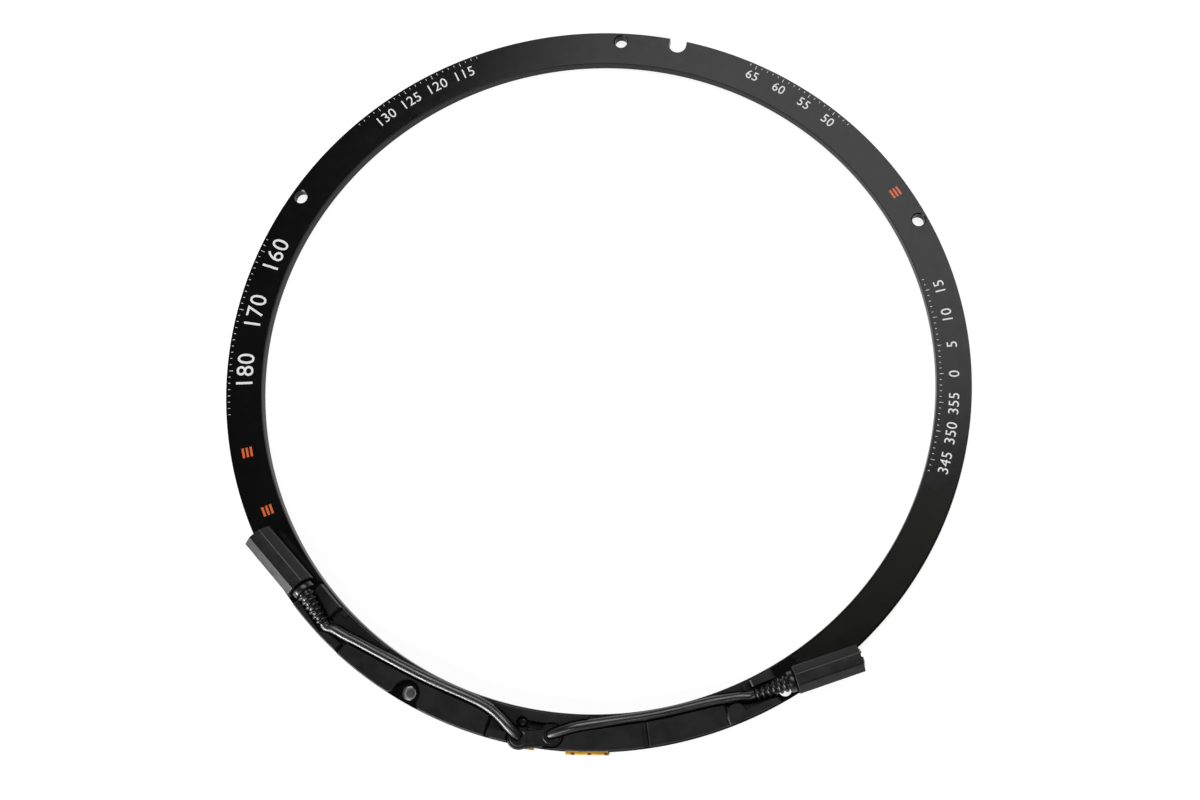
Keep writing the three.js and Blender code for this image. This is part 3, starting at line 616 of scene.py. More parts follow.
ORANGE_INK = Finish(
    "ink_orange", Slot.ANODISED, (0.66, 0.12, 0.025), 0.5, patch=0.06, patch_size=2.0, grain=0.006,
    grain_size=0.15,
)


def add_piece(
    name: str,
    bm: bmesh.types.BMesh,
    finishes: Finish | Sequence[Finish],
    stands_for: Iterable[str] = (),
    smooth: float = 32.0,
) -> bpy.types.Object:
    """Turns a mesh into a finished piece that rides on the ring.

    Args:
        name: The piece's name.
        bm: The mesh, in metres, in its place. It is freed.
        finishes: The finish, or one for each material number of the mesh.
        stands_for: Nodes of the frame that this piece replaces.
        smooth: Edges that turn more than this many degrees stay sharp.

    Returns:
        The new object.
    """
    mesh = bpy.data.meshes.new(name)
    bm.to_mesh(mesh)
    bm.free()
    piece = bpy.data.objects.new(name, mesh)
    bpy.context.scene.collection.objects.link(piece)
    chosen = [finishes] if isinstance(finishes, Finish) else list(finishes)
    mesh.materials.clear()
    for finish in chosen:
        mesh.materials.append(finish.build())
    mesh.polygons.foreach_set("use_smooth", [True] * len(mesh.polygons))
    mesh.set_sharp_from_angle(angle=math.radians(smooth))
    weights = piece.modifiers.new("face_normals", "WEIGHTED_NORMAL")
    weights.keep_sharp = True
    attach(piece, BODY)
    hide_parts(*stands_for)
    LOG.info("%s: %d faces", name, len(mesh.polygons))
    return piece


def cut(
    bm: bmesh.types.BMesh,
    cutters: Sequence[tuple[bmesh.types.BMesh, int]],
    operation: str = "DIFFERENCE",
) -> bmesh.types.BMesh:
    """Cuts a mesh with others, or joins them to it.

    Args:
        bm: The mesh to change. It is freed.
        cutters: Each cutter with the material number of the faces it makes. They are freed.
        operation: The boolean operation.

    Returns:
        The result.
    """
    scene = bpy.context.scene.collection
    slots = [bpy.data.materials.new(f"number_{number}") for number in range(4)]
    mesh = bpy.data.meshes.new("whole")
    bm.to_mesh(mesh)
    bm.free()
    whole = bpy.data.objects.new("whole", mesh)
    scene.objects.link(whole)
    for slot in slots:
        mesh.materials.append(slot)
    tools = []
    for cutter, number in cutters:
        shape = bpy.data.meshes.new("cutter")
        cutter.to_mesh(shape)
        cutter.free()
        for slot in slots:
            shape.materials.append(slot)
        shape.polygons.foreach_set("material_index", [number] * len(shape.polygons))
        tool = bpy.data.objects.new("cutter", shape)
        scene.objects.link(tool)
        tools.append(tool)
        modifier = whole.modifiers.new("cut", "BOOLEAN")
        modifier.operation = operation
        modifier.solver = "EXACT"
        modifier.object = tool
    graph = bpy.context.evaluated_depsgraph_get()
    result = bmesh.new()
    result.from_mesh(whole.evaluated_get(graph).to_mesh())
    for item in [whole, *tools]:
        data = item.data
        bpy.data.objects.remove(item)
        bpy.data.meshes.remove(data)
    for slot in slots:
        bpy.data.materials.remove(slot)
    return result


def solid_copy(node: bpy.types.Object) -> bmesh.types.BMesh:
    """A clean copy of a node of the frame: merged points, and one face for each flat area.

    Args:
        node: The frame's object, which stays as it is.

    Returns:
        The copy.
    """
    bm = bmesh.new()
    bm.from_mesh(node.data)
    bmesh.ops.remove_doubles(bm, verts=bm.verts, dist=2e-6)
    bmesh.ops.dissolve_limit(
        bm, angle_limit=math.radians(0.6), verts=bm.verts, edges=bm.edges, delimit={"NORMAL"}
    )
    return bm


@dataclass(frozen=True)
class Lamp:
    """Soft rectangular lamp: its place and the point that it faces in metres, its size and its watts."""

    name: str
    at: Point
    aim: Point
    size: tuple[float, float]
    power: float


@dataclass
class Studio:
    """Camera at the photograph's angle, pale floor, soft lamps and a plain surround."""

    tilt: float = -0.19033018
    azimuth: float = -0.113010645
    offset: Point = (-46.14227, 33.38844, -380.66914)
    lift: float = 0.3
    lens: float = 36.948
    shift: tuple[float, float] = (-0.126667, 0.069167)
    surround: float = 0.03
    horizon: float = 1.5
    horizon_height: float = 0.34
    glow_from: Point = (-0.74, -0.67, 0.0)
    floor_glow: float = 1.0
    floor_glow_seen: float = 0.35
    floor_share: float = 0.62
    floor_drop: float = 0.02
    lamps: tuple[Lamp, ...] = (
        Lamp("key_lamp", (0.31, 0.615, 1.0), (0.31, 0.62, 0.0), (1.0, 0.81), 10.2),
        Lamp("fill_lamp", (-0.25, -0.9, 0.95), (0.0, 0.0, 0.0), (0.5, 0.3), 2.6),
        Lamp("edge_lamp", (-0.8, -0.75, 0.3), (-0.05, -0.08, 0.0), (0.6, 0.2), 14.0),
    )

    def build(self) -> None:
        """Makes the camera, the floor, the lamps and the world."""
        self.make_camera()
        self.make_floor()
        for lamp in self.lamps:
            self.make_lamp(lamp)
        self.make_world()

    def make_camera(self) -> None:
        """Camera from the turn of the ring and its offset in the camera's own frame."""
        about = Matrix.Rotation(self.azimuth, 4, "Z")
        turn = about @ Matrix.Rotation(self.tilt, 4, "X") @ about.transposed()
        place = Matrix.Translation(Vector(self.offset) * MM) @ turn
        place @= Matrix.Translation(Vector((0.0, 0.0, -self.lift)) * MM)
        data = bpy.data.cameras.new("camera")
        data.lens, data.sensor_width = self.lens, 36.0
        data.shift_x, data.shift_y = self.shift
        data.clip_start, data.clip_end = 0.01, 20.0
        camera = bpy.data.objects.new("camera", data)
        camera.matrix_world = place.inverted()
        bpy.context.scene.collection.objects.link(camera)
        bpy.context.scene.camera = camera

    def make_floor(self) -> None:
        """Pale floor: white to the camera and in reflections, but for the part's shadow."""
        bm = bmesh.new()
        bmesh.ops.create_grid(bm, x_segments=1, y_segments=1, size=3.0)
        mesh = bpy.data.meshes.new("floor")
        bm.to_mesh(mesh)
        bm.free()
        floor = bpy.data.objects.new("floor", mesh)
        floor.location.z = -self.floor_drop * MM
        bpy.context.scene.collection.objects.link(floor)
        shader = Shader("floor_white")
        shader.bsdf.inputs["Base Color"].default_value = (0.86, 0.86, 0.86, 1.0)
        shader.bsdf.inputs["Roughness"].default_value = 0.8
        shader.bsdf.inputs["Specular IOR Level"].default_value = 0.1
        glow = shader.node("ShaderNodeEmission")
        path = shader.node("ShaderNodeLightPath")
        strength = shader.math(
            "MULTIPLY_ADD", path.outputs["Is Camera Ray"], self.floor_glow_seen, self.floor_glow
        )
        shader.link(strength, glow.inputs["Strength"])
        seen = shader.math("MAXIMUM", path.outputs["Is Camera Ray"], path.outputs["Is Glossy Ray"])
        seen = shader.math("MAXIMUM", seen, path.outputs["Is Transmission Ray"])
        mix = shader.node("ShaderNodeMixShader")
        shader.link(shader.math("MULTIPLY", seen, self.floor_share), mix.inputs[0])
        shader.link(shader.bsdf.outputs[0], mix.inputs[1])
        shader.link(glow.outputs[0], mix.inputs[2])
        output = next(n for n in shader.tree.nodes if n.type == "OUTPUT_MATERIAL")
        shader.link(mix.outputs[0], output.inputs["Surface"])
        mesh.materials.append(shader.material)

    def make_lamp(self, plan: Lamp) -> None:
        """Adds a lamp.

        Args:
            plan: What the lamp is and where it stands.
        """
        data = bpy.data.lights.new(plan.name, "AREA")
        data.shape, data.size, data.size_y = "RECTANGLE", *plan.size
        data.energy = plan.power
        lamp = bpy.data.objects.new(plan.name, data)
        lamp.location = plan.at
        lamp.rotation_euler = (Vector(plan.aim) - Vector(plan.at)).to_track_quat("-Z", "Y").to_euler()
        bpy.context.scene.collection.objects.link(lamp)

    def make_world(self) -> None:
        """White behind the part, and for all else a dim surround that glows low on one side."""
        world = bpy.data.worlds.new("studio")
        world.use_nodes = True
        tree = world.node_tree
        tree.nodes.clear()
        out = tree.nodes.new("ShaderNodeOutputWorld")
        coords = tree.nodes.new("ShaderNodeTexCoord")
        split = tree.nodes.new("ShaderNodeSeparateXYZ")
        tree.links.new(coords.outputs["Generated"], split.inputs[0])
        fade = self.map_range(tree, (0.0, self.horizon_height), (self.horizon, 0.0))
        tree.links.new(split.outputs[2], fade.inputs["Value"])
        facing = tree.nodes.new("ShaderNodeVectorMath")
        facing.operation = "DOT_PRODUCT"
        tree.links.new(coords.outputs["Generated"], facing.inputs[0])
        facing.inputs[1].default_value = self.glow_from
        side = self.map_range(tree, (-0.3, 0.8), (0.12, 1.0))
        tree.links.new(facing.outputs["Value"], side.inputs["Value"])
        glow = tree.nodes.new("ShaderNodeMath")
        glow.operation = "MULTIPLY_ADD"
        tree.links.new(fade.outputs[0], glow.inputs[0])
        tree.links.new(side.outputs[0], glow.inputs[1])
        glow.inputs[2].default_value = self.surround
        dim = tree.nodes.new("ShaderNodeBackground")
        tree.links.new(glow.outputs[0], dim.inputs["Strength"])
        white = tree.nodes.new("ShaderNodeBackground")
        white.inputs["Strength"].default_value = 1.0
        for shade in (dim, white):
            shade.inputs["Color"].default_value = (1.0, 1.0, 1.0, 1.0)
        path = tree.nodes.new("ShaderNodeLightPath")
        mix = tree.nodes.new("ShaderNodeMixShader")
        tree.links.new(path.outputs["Is Camera Ray"], mix.inputs[0])
        tree.links.new(dim.outputs[0], mix.inputs[1])
        tree.links.new(white.outputs[0], mix.inputs[2])
        tree.links.new(mix.outputs[0], out.inputs["Surface"])
        bpy.context.scene.world = world
        bpy.context.scene.view_settings.view_transform = "Standard"

    @staticmethod
    def map_range(
        tree: bpy.types.NodeTree, source: tuple[float, float], target: tuple[float, float]
    ) -> bpy.types.Node:
        """A Map Range node.

        Args:
            tree: The node tree that it goes in.
            source: Lowest and highest input.
            target: The outputs for those inputs.

        Returns:
            The node.
        """
        made = tree.nodes.new("ShaderNodeMapRange")
        made.inputs["From Min"].default_value, made.inputs["From Max"].default_value = source
        made.inputs["To Min"].default_value, made.inputs["To Max"].default_value = target
        return made


@dataclass
class RingPlate:
    """Anodised ring with chamfered screw holes and a notch, and the plug in one of its holes."""

    inner: float = 103.1
    outer: float = 114.0
    bottom: float = 0.3
    top: float = 3.3
    edge: float = 0.35
    hole: float = 2.0
    hole_chamfer: float = 0.35
    hole_circle: float = 111.0
    hole_angles: tuple[float, ...] = (27.0, 88.0, 149.3, 240.9, 300.1)
    notch_angle: float = 78.6
    notch_half: float = 2.75
    notch_depth: float = 4.5
    notch_steps: int = 24
    tapped_angle: float = 259.05
    tapped_circle: float = 107.15
    tapped: float = 1.0
    tapped_depth: float = 2.6
    plug_angle: float = 240.9
    plug: float = 1.8
    plug_top: float = 1.4
    plug_edge: float = 0.15
    plug_rim: float = 0.5
    plug_dish: float = 0.3

    def build(self) -> None:
        """Makes the plate and the plug."""
        corners = [
            (self.inner, self.bottom, 0.08), (self.outer, self.bottom, 0.08),
            (self.outer, self.top, self.edge), (self.inner, self.top, self.edge),
        ]
        plate = closed_spin(rounded(corners, 2), 360)
        cutters = [(self.hole_cutter(angle), 1) for angle in self.hole_angles]
        cutters += [(self.notch_cutter(), 0), (self.tapped_cutter(), 0)]
        add_piece("ring_plate_fine", cut(plate, cutters), [ANODISED, BARE_ALUMINIUM], ["ring_plate"], 25.0)
        self.make_plug()

    def hole_cutter(self, angle: float) -> bmesh.types.BMesh:
        """Through hole with its chamfer.

        Args:
            angle: The hole's place round the ring, in degrees.

        Returns:
            The cutter.
        """
        low, high = self.bottom - 1, self.top + 1
        wide = self.hole + self.hole_chamfer + 1
        chamfer = self.top - self.hole_chamfer
        profile = [(0, low), (self.hole, low), (self.hole, chamfer), (wide, high), (0, high)]
        return moved(closed_spin(profile, 64), Matrix.Translation(polar(angle, self.hole_circle)))

    def notch_cutter(self) -> bmesh.types.BMesh:
        """Notch with a round bottom.

        Returns:
            The cutter.
        """
        middle = self.outer - self.notch_depth + self.notch_half
        outline = [(self.outer + 3, self.notch_half)]
        for step in range(self.notch_steps + 1):
            turn = math.pi / 2 + math.pi * step / self.notch_steps
            x, y = middle + self.notch_half * math.cos(turn), self.notch_half * math.sin(turn)
            outline.append((x, y))
        outline.append((self.outer + 3, -self.notch_half))
        cutter = prism(outline, self.bottom - 1, self.top + 1)
        return moved(cutter, Matrix.Rotation(math.radians(self.notch_angle), 4, "Z"))

    def tapped_cutter(self) -> bmesh.types.BMesh:
        """Blind hole for the cover's screw.

        Returns:
            The cutter.
        """
        low, high = self.top - self.tapped_depth, self.top + 1
        profile = [(0, low), (self.tapped, low), (self.tapped, high), (0, high)]
        at = polar(self.tapped_angle, self.tapped_circle)
        return moved(closed_spin(profile, 32), Matrix.Translation(at))

    def make_plug(self) -> None:
        """Dished disc low in the covered hole."""
        at = polar(self.plug_angle, self.hole_circle)
        low, high = self.bottom, self.plug_top
        edge, rim, dish = self.plug_edge, self.plug_rim, self.plug_dish
        profile = [(0, low), (self.plug, low), (self.plug, high - edge), (self.plug - edge, high)]
        profile += [(self.plug - rim, high), (self.plug - rim - 0.25, high - dish + 0.08), (0, high - dish)]
        # The disc's finish paints shade into its middle.
        finish = PaintedShadeDiscFinish(
            "plug_metal", Slot.BARE_STEEL, (0.85, 0.86, 0.87), 0.35, metallic=0.2, patch=0.15,
            patch_size=1.5, grain=0.01, centre=tuple(at + Vector((0, 0, self.plug_top * MM))),
        )
        disc = moved(closed_spin(profile, 48), Matrix.Translation(at))
        add_piece("hole_plug_fine", disc, finish, ["hole_plug"])


@dataclass
class HeaterFilm:
    """Film band under the ring, with its tail folded up round the outer edge."""

    inner: float = 104.3
    outer: float = 108.7
    thickness: float = 0.3
    tail_angle: float = 269.05
    tail_width: float = 12.4
    tail_in: float = 109.4
    wall: float = 114.75
    top: float = 3.6
    side_angle: float = 260.3
    side_width: float = 3.7
    side_end: float = 114.8
    side_corner: float = 0.3
    bend_out: float = 0.55
    bend_in: float = 0.28

    def build(self) -> None:
        """Makes the band and the tail as one piece."""
        t = self.thickness
        band = closed_spin([(self.inner, 0), (self.outer, 0), (self.outer, t), (self.inner, t)], 288)
        start = self.outer - 1
        wall_in = self.wall - t
        fold = rounded([
            (start, 0.0, 0), (self.wall, 0.0, self.bend_out), (self.wall, self.top, self.bend_out),
            (self.tail_in, self.top, 0), (self.tail_in, self.top - t, 0),
            (wall_in, self.top - t, self.bend_in), (wall_in, t, self.bend_in), (start, t, 0),
        ], 4)
        tail = prism(fold, -self.tail_width / 2, self.tail_width / 2)
        upright = Matrix.Rotation(math.radians(90), 4, "X")
        moved(tail, Matrix.Rotation(math.radians(self.tail_angle), 4, "Z") @ upright)
        bmesh.ops.recalc_face_normals(tail, faces=tail.faces)
        half = self.side_width / 2
        end = half - self.side_corner
        outline = [(start, -half), (self.side_end, -end), (self.side_end, end), (start, half)]
        side = moved(prism(outline, 0.0, t), Matrix.Rotation(math.radians(self.side_angle), 4, "Z"))
        film = cut(band, [(tail, 0), (side, 0)], "UNION")
        add_piece("heater_film_fine", film, AMBER_FILM, ["heater_film"])


@dataclass
class RingPrint:
    """Plain scale on the ring: fine ticks with numbers, and orange index bars."""

    face: float = 3.3
    relief: float = 0.02
    spans: tuple[tuple[int, int, int, float, float, bool], ...] = (
        (112, 134, 5, 109.4, 3.3, True),
        (158, 187, 10, 108.6, 5.2, True),
        (47, 66, 5, 109.8, 3.0, True),
        (343, 377, 5, 108.4, 3.3, False),
    )
    marks: tuple[tuple[float, float], ...] = ((33.0, 109.4), (203.6, 107.6), (193.5, 108.9))
    mark_length: float = 3.0
    mark_width: float = 0.7
    mark_step: float = 1.2
    tick_width: float = 0.16
    tick_long: float = 1.2
    tick_short: float = 0.6
    tick_outer: float = 113.3
    tick_inner: float = 104.0
    digit_pitch: float = 0.74

    def build(self) -> None:
        """Makes the white ink and the orange ink."""
        white = bmesh.new()
        for span in self.spans:
            white = merged(white, *self.scale(*span))
        add_piece("ring_print_white", white, WHITE_INK, smooth=60.0)
        bars = [
            self.bar(angle, radius + shift, self.mark_length, self.mark_width)
            for angle, radius in self.marks
            for shift in (-self.mark_step, 0, self.mark_step)
        ]
        add_piece("ring_print_orange", merged(*bars), ORANGE_INK, smooth=60.0)

    def bar(self, angle: float, radius: float, along: float, across: float) -> bmesh.types.BMesh:
        """One printed bar.

        Args:
            angle: Its place round the ring, in degrees.
            radius: Radius of its middle.
            along: Its size round the ring.
            across: Its size across the ring.

        Returns:
            The bar.
        """
        bm = bmesh.new()
        bmesh.ops.create_cube(bm, size=1.0)
        bmesh.ops.scale(bm, verts=bm.verts, vec=(across * MM, along * MM, self.relief * MM))
        at = polar(angle, radius, self.face + self.relief / 2)
        return moved(bm, placement(at, angle))

    def digit(self, sign: str, height: float) -> bmesh.types.BMesh:
        """One numeral, flat, centred on its own width.

        Args:
            sign: The numeral.
            height: Its height in millimetres.

        Returns:
            The numeral's shape.
        """
        data = bpy.data.curves.new("digit", "FONT")
        data.body, data.size, data.align_x = sign, height * MM * 1.4, "CENTER"
        data.extrude = self.relief * MM / 2
        data.resolution_u = 4
        text = bpy.data.objects.new("digit", data)
        bpy.context.scene.collection.objects.link(text)
        graph = bpy.context.evaluated_depsgraph_get()
        mesh = bpy.data.meshes.new_from_object(text.evaluated_get(graph))
        bm = bmesh.new()
        bm.from_mesh(mesh)
        bmesh.ops.remove_doubles(bm, verts=bm.verts, dist=1e-8)
        bpy.data.objects.remove(text)
        bpy.data.curves.remove(data)
        bpy.data.meshes.remove(mesh)
        return bm

    def scale(
        self, start: int, stop: int, step: int, radius: float, height: float, outward: bool
    ) -> list[bmesh.types.BMesh]:
        """Ticks and numbers of one span.

        Args:
            start: First whole degree.
            stop: Last whole degree.
            step: Degrees between numbers.
            radius: Radius of the numbers' feet or heads.
            height: Height of the numbers in millimetres.
            outward: Whether the numbers' heads point away from the axis.

        Returns:
            The ink's shapes.
        """
        shapes = []
        for angle in range(start, stop + 1):
            main = angle % step == 0
            edge = self.tick_outer if outward else self.tick_inner
            length = self.tick_long if main else self.tick_short
            middle = edge - length / 2 if outward else edge + length / 2
            shapes.append(self.bar(angle, middle, self.tick_width, length))
            if not main:
                continue
            signs = str(angle % 360)
            pitch = math.degrees(height * self.digit_pitch / radius)
            for index, sign in enumerate(signs):
                shift = (index - (len(signs) - 1) / 2) * pitch
                at_angle = angle - shift if outward else angle + shift
                foot = radius - height / 2 if outward else radius + height / 2
                at = polar(at_angle, foot, self.face + self.relief / 2)
                turn = at_angle - 90 if outward else at_angle + 90
                shapes.append(moved(self.digit(sign, height), placement(at, turn)))
        return shapes


@dataclass
class WiringCover:
    """Moulded cover in three parts, with the grommet, the screw and what lies under the cap."""

    edge_round: float = 0.28
    grommet_round: float = 0.16
    screw_angle: float = 259.05
    screw_circle: float = 107.15
    seat: float = 4.0
    head: float = 1.3
    head_height: float = 1.2
    shank: float = 0.8
    shank_end: float = 1.9
    cross: Point = (1.5, 0.36, 1.2)
    cross_turns: tuple[float, ...] = (25.0, 115.0)
    parts: tuple[str, ...] = ("cover_left_arm", "cover_cap", "cover_right_arm")
    inner: dict[str, Finish] = field(
        default_factory=lambda: {
            "junction_board": BOARD, "thermistor": EPOXY, "left_wire_a": RED_WIRE,
            "left_wire_b": BLACK_WIRE, "right_wire_a": RED_WIRE, "right_wire_b": BLACK_WIRE,
        }
    )

    def build(self, nodes: dict[str, bpy.types.Object]) -> None:
        """Dresses the cover's parts and what they hold.

        Args:
            nodes: The frame's objects by name.
        """
        for part in self.parts:
            shape = round_edges(solid_copy(nodes[part]), self.edge_round, 40.0)
            add_piece(f"{part}_fine", shape, COVER_PLASTIC, [part], 28.0)
        grommet = round_edges(solid_copy(nodes["twin_grommet"]), self.grommet_round, 40.0, 3)
        add_piece("twin_grommet_fine", grommet, GROMMET_RUBBER, ["twin_grommet"], 50.0)
        self.make_screw()
        for node, finish in self.inner.items():
            nodes[node].data.materials.clear()
            nodes[node].data.materials.append(finish.build())
            LOG.info("%s: kept, %s", node, finish.name)

    def make_screw(self) -> None:
        """Pan head screw with a cross recess."""
        top = self.seat + self.head_height
        body = closed_spin([
            (0, self.shank_end), (self.shank - 0.2, self.shank_end),
            (self.shank, self.shank_end + 0.2), (self.shank, self.seat), (self.head, self.seat),
            (self.head, top - 0.55), (self.head - 0.12, top - 0.3), (self.head - 0.4, top - 0.08),
            (self.head - 0.75, top), (0, top),
        ], 40)
        slots = []
        for turn in self.cross_turns:
            arm = bmesh.new()
            bmesh.ops.create_cube(arm, size=1.0)
            bmesh.ops.scale(arm, verts=arm.verts, vec=Vector(self.cross) * MM)
            slots.append((moved(arm, placement(Vector((0, 0, top * MM)), turn)), 0))
        at = polar(self.screw_angle, self.screw_circle)
        screw = moved(cut(body, slots), Matrix.Translation(at))
        add_piece("cap_screw_fine", screw, BLACK_STEEL, ["cap_screw"])


@dataclass
class CordRoute:
    """Centripetal curve through a lead's points, as far as its strain relief."""

    points: list[Vector]

    def at(self, share: float) -> Vector:
        """Point of the curve.

        Args:
            share: Share of the curve's spans, from 0 to 1.

        Returns:
            The point in metres.
        """
        spans = len(self.points) - 1
        place = min(max(share, 0.0), 1.0) * spans
        index = min(int(place), spans - 1)
        weight = place - index
        p1, p2 = self.points[index], self.points[index + 1]
        p0 = self.points[index - 1] if index > 0 else 2 * p1 - p2
        p3 = self.points[index + 2] if index + 2 <= spans else 2 * p2 - p1
        d0, d1, d2 = ((b - a).length ** 0.5 for a, b in ((p0, p1), (p1, p2), (p2, p3)))
        t1 = ((p1 - p0) / d0 - (p2 - p0) / (d0 + d1) + (p2 - p1) / d1) * d1
        t2 = ((p2 - p1) / d1 - (p3 - p1) / (d1 + d2) + (p3 - p2) / d2) * d1
        square, cube = weight * weight, weight ** 3
        bend = 3 * (p2 - p1) - 2 * t1 - t2
        return p1 + t1 * weight + bend * square + (2 * (p1 - p2) + t1 + t2) * cube

    def samples(self, count: int) -> list[Vector]:
        """Evenly numbered points along the curve."""
        return [self.at(index / count) for index in range(count + 1)]


@dataclass
class Lead:
    """Cable, strain relief and line socket body of one lead."""

    side: str
    route: tuple[Point, ...]
    jack_heading: float
    boot_heading: float
    roll: float
    bore: float
    bore_depth: float
    inner_bore: float = 0.0
    inner_depth: float = 0.0
    cable: float = 2.8
    boot_length: float = 12.2
    gap: float = 0.3
    axis_height: float = 7.85
    collar: float = 3.1
    collar_length: float = 1.9
    rib_wide: float = 2.5
    rib_narrow: float = 1.9
    rib_groove: float = 0.55
    rib_share: float = 0.66
    rib_start: float = 0.2
    rib_steps: int = 8
    ribs: int = 6
    jack_width: float = 8.2
    jack_length: float = 20.1
    jack_round: float = 0.3
    mouth_chamfer: float = 0.25
    samples: int = 240
    tip: Vector = field(init=False)
    rear: Vector = field(init=False)
    back: Vector = field(init=False)
    pitch: float = field(init=False)

    def __post_init__(self) -> None:
        """Works out where the strain relief and the socket stand."""
        self.tip = polar(*self.route[-1])
        rise = self.axis_height - self.route[-1][2]
        run = math.sqrt(self.boot_length**2 - rise**2)
        self.rear = self.tip + polar(self.boot_heading, run, rise)
        self.back = (self.tip - self.rear).normalized()
        self.pitch = -math.degrees(math.asin(rise / self.boot_length))

    def build(self) -> None:
        boot = self.make_boot()
        body = self.make_socket_body()
        self.make_cable([boot, body, *self.make_contacts()])

    def centreline(self) -> list[Vector]:
        """Points of the cable's middle, in metres.

        Returns:
            The points, from the grommet to the strain relief.
        """
        points = [polar(*point) for point in self.route[:-1]]
        inside = (self.gap + self.cable / 2, self.gap)
        points += [self.tip + self.back * depth * MM for depth in inside]
        return CordRoute(points).samples(self.samples)

    def make_cable(self, pieces: list[bpy.types.Object]) -> None:
        """Round jacket along the route.

        Args:
            pieces: The pieces at the cable's end; not used.
        """
        line = self.centreline()
        data = bpy.data.curves.new(f"{self.side}_cable_fine", "CURVE")
        data.dimensions = "3D"
        data.bevel_depth = self.cable / 2 * MM
        data.bevel_resolution = 10
        data.use_fill_caps = True
        spline = data.splines.new("POLY")
        spline.points.add(len(line) - 1)
        for point, place in zip(spline.points, line):
            point.co = (*place, 1.0)
        spline.use_smooth = True
        data.materials.append(CABLE_JACKET.build())
        cable = bpy.data.objects.new(f"{self.side}_cable_fine", data)
        bpy.context.scene.collection.objects.link(cable)
        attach(cable, BODY)
        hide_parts(f"{self.side}_cable")

    def make_boot(self) -> bpy.types.Object:
        """Collar against the socket and tapered ribs towards the cable, as one moulding.

        Returns:
            The strain relief.
        """
        r, n = self.collar, self.collar_length
        rear, front = self.gap, self.gap + n
        collar = closed_spin([
            (0, rear), (r - 0.3, rear), (r - 0.09, rear + 0.09), (r, rear + 0.3),
            (r, front - 0.5), (r - 0.13, front - 0.17), (r - 0.5, front), (0, front),
        ], 56)
        groove = self.rib_groove
        pitch = (self.boot_length - n - self.gap) / self.ribs
        core = self.rib_narrow - groove
        profile = [(0.0, 0.0), (core - 0.1, 0.0), (core, 0.1)]
        half = self.rib_share * pitch / 2
        for index in range(self.ribs):
            wide = self.rib_narrow + (self.rib_wide - self.rib_narrow) * index / (self.ribs - 1)
            middle = index * pitch + self.rib_start + half
            for step in range(self.rib_steps + 1):
                turn = math.pi * (step / self.rib_steps - 0.5)
                x, y = groove * math.cos(turn), half * math.sin(turn)
                profile.append((wide - groove + x, middle + y))
        last = self.boot_length - self.gap - 0.5
        profile += [(self.rib_wide - groove, last), (0.0, last)]
        lay = placement(self.tip, self.boot_heading, self.pitch) @ LIE_DOWN
        tail = moved(closed_spin(profile, 56), lay)
        moved(collar, placement(self.rear, self.jack_heading + 180) @ LIE_DOWN)
        name = f"{self.side}_strain_relief"
        boot = cut(tail, [(collar, 0)], "UNION")
        return add_piece(f"{name}_fine", boot, BOOT_PLASTIC, [name], 40.0)

    def socket_place(self) -> Matrix:
        """Turned pieces stand up along Z; this lays them on the socket's axis."""
        return placement(self.rear, self.jack_heading, 0.0, self.roll) @ LIE_DOWN

    def make_socket_body(self) -> bpy.types.Object:
        """Eight-sided moulding with soft edges and a stepped bore.

        Returns:
            The socket's body.
        """
        bm = bmesh.new()
        across = self.jack_width / 2 / math.cos(math.pi / 8) * MM
        length = self.jack_length * MM
        bmesh.ops.create_cone(
            bm, cap_ends=True, segments=8, radius1=across, radius2=across, depth=length
        )
        moved(bm, Matrix.Translation((0, 0, length / 2)) @ Matrix.Rotation(math.pi / 8, 4, "Z"))
        round_edges(bm, self.jack_round, 30.0, 3)
        bore = self.bore / 2
        end = self.jack_length
        deep = end - self.bore_depth
        lip = end - self.mouth_chamfer
        flare = bore + 1 + self.mouth_chamfer
        profile = [(0, deep), (bore, deep), (bore, lip), (flare, end + 1), (0, end + 1)]
        cutters = [(closed_spin(profile, 64), 0)]
        if self.inner_depth:
            r = self.inner_bore / 2
            deep = end - self.inner_depth
            inner = [(0, deep), (r, deep), (r, end - 1), (0, end - 1)]
            cutters.append((closed_spin(inner, 64), 0))
        body = moved(cut(bm, cutters), self.socket_place())
        name = f"{self.side}_jack_body"
        return add_piece(f"{name}_fine", body, JACK_PLASTIC, [name], 35.0)

    def turned_piece(
        self, node: str, profile: Sequence[tuple[float, float]], finish: Finish
    ) -> bpy.types.Object:
        """A piece turned about the socket's axis.

        Args:
            node: The frame's node that it stands for.
            profile: Radius and distance from the socket's rear.
            finish: Its finish.

        Returns:
            The piece.
        """
        turned = moved(closed_spin(profile, 56), self.socket_place())
        return add_piece(f"{node}_fine", turned, finish, [node])

    def make_contacts(self) -> list[bpy.types.Object]:
        """The metal and insulating pieces in the socket; a plain lead has none."""
        return []


@dataclass
class PowerLead(Lead):
    """Lead with a power socket: plated sleeve round a centre pin."""

    pin_length: float = 7.5

    def make_contacts(self) -> list[bpy.types.Object]:
        """Sleeve, base and pin.

        Returns:
            The three pieces.
        """
        base = self.jack_length - self.bore_depth + self.gap
        mouth = self.jack_length - 0.2
        sleeve = [
            (2.8, base), (3.2, base), (3.2, mouth - 0.1), (3.1, mouth), (2.95, mouth),
            (2.8, mouth - 0.25),
        ]
        floor = [(0, base), (2.4, base), (2.4, base + 1.45), (2.25, base + 1.6), (0, base + 1.6)]
        foot = base + 1.8
        tip = foot + self.pin_length
        pin = [
            (0, foot), (1.05, foot), (1.05, tip - 0.5), (0.95, tip - 0.22), (0.7, tip - 0.05),
            (0.4, tip), (0, tip),
        ]
        return [
            self.turned_piece("left_jack_sleeve", sleeve, NICKEL),
            self.turned_piece("left_jack_insulator", floor, WHITE_PLASTIC),
            self.turned_piece("left_jack_pin", pin, GOLD),
        ]


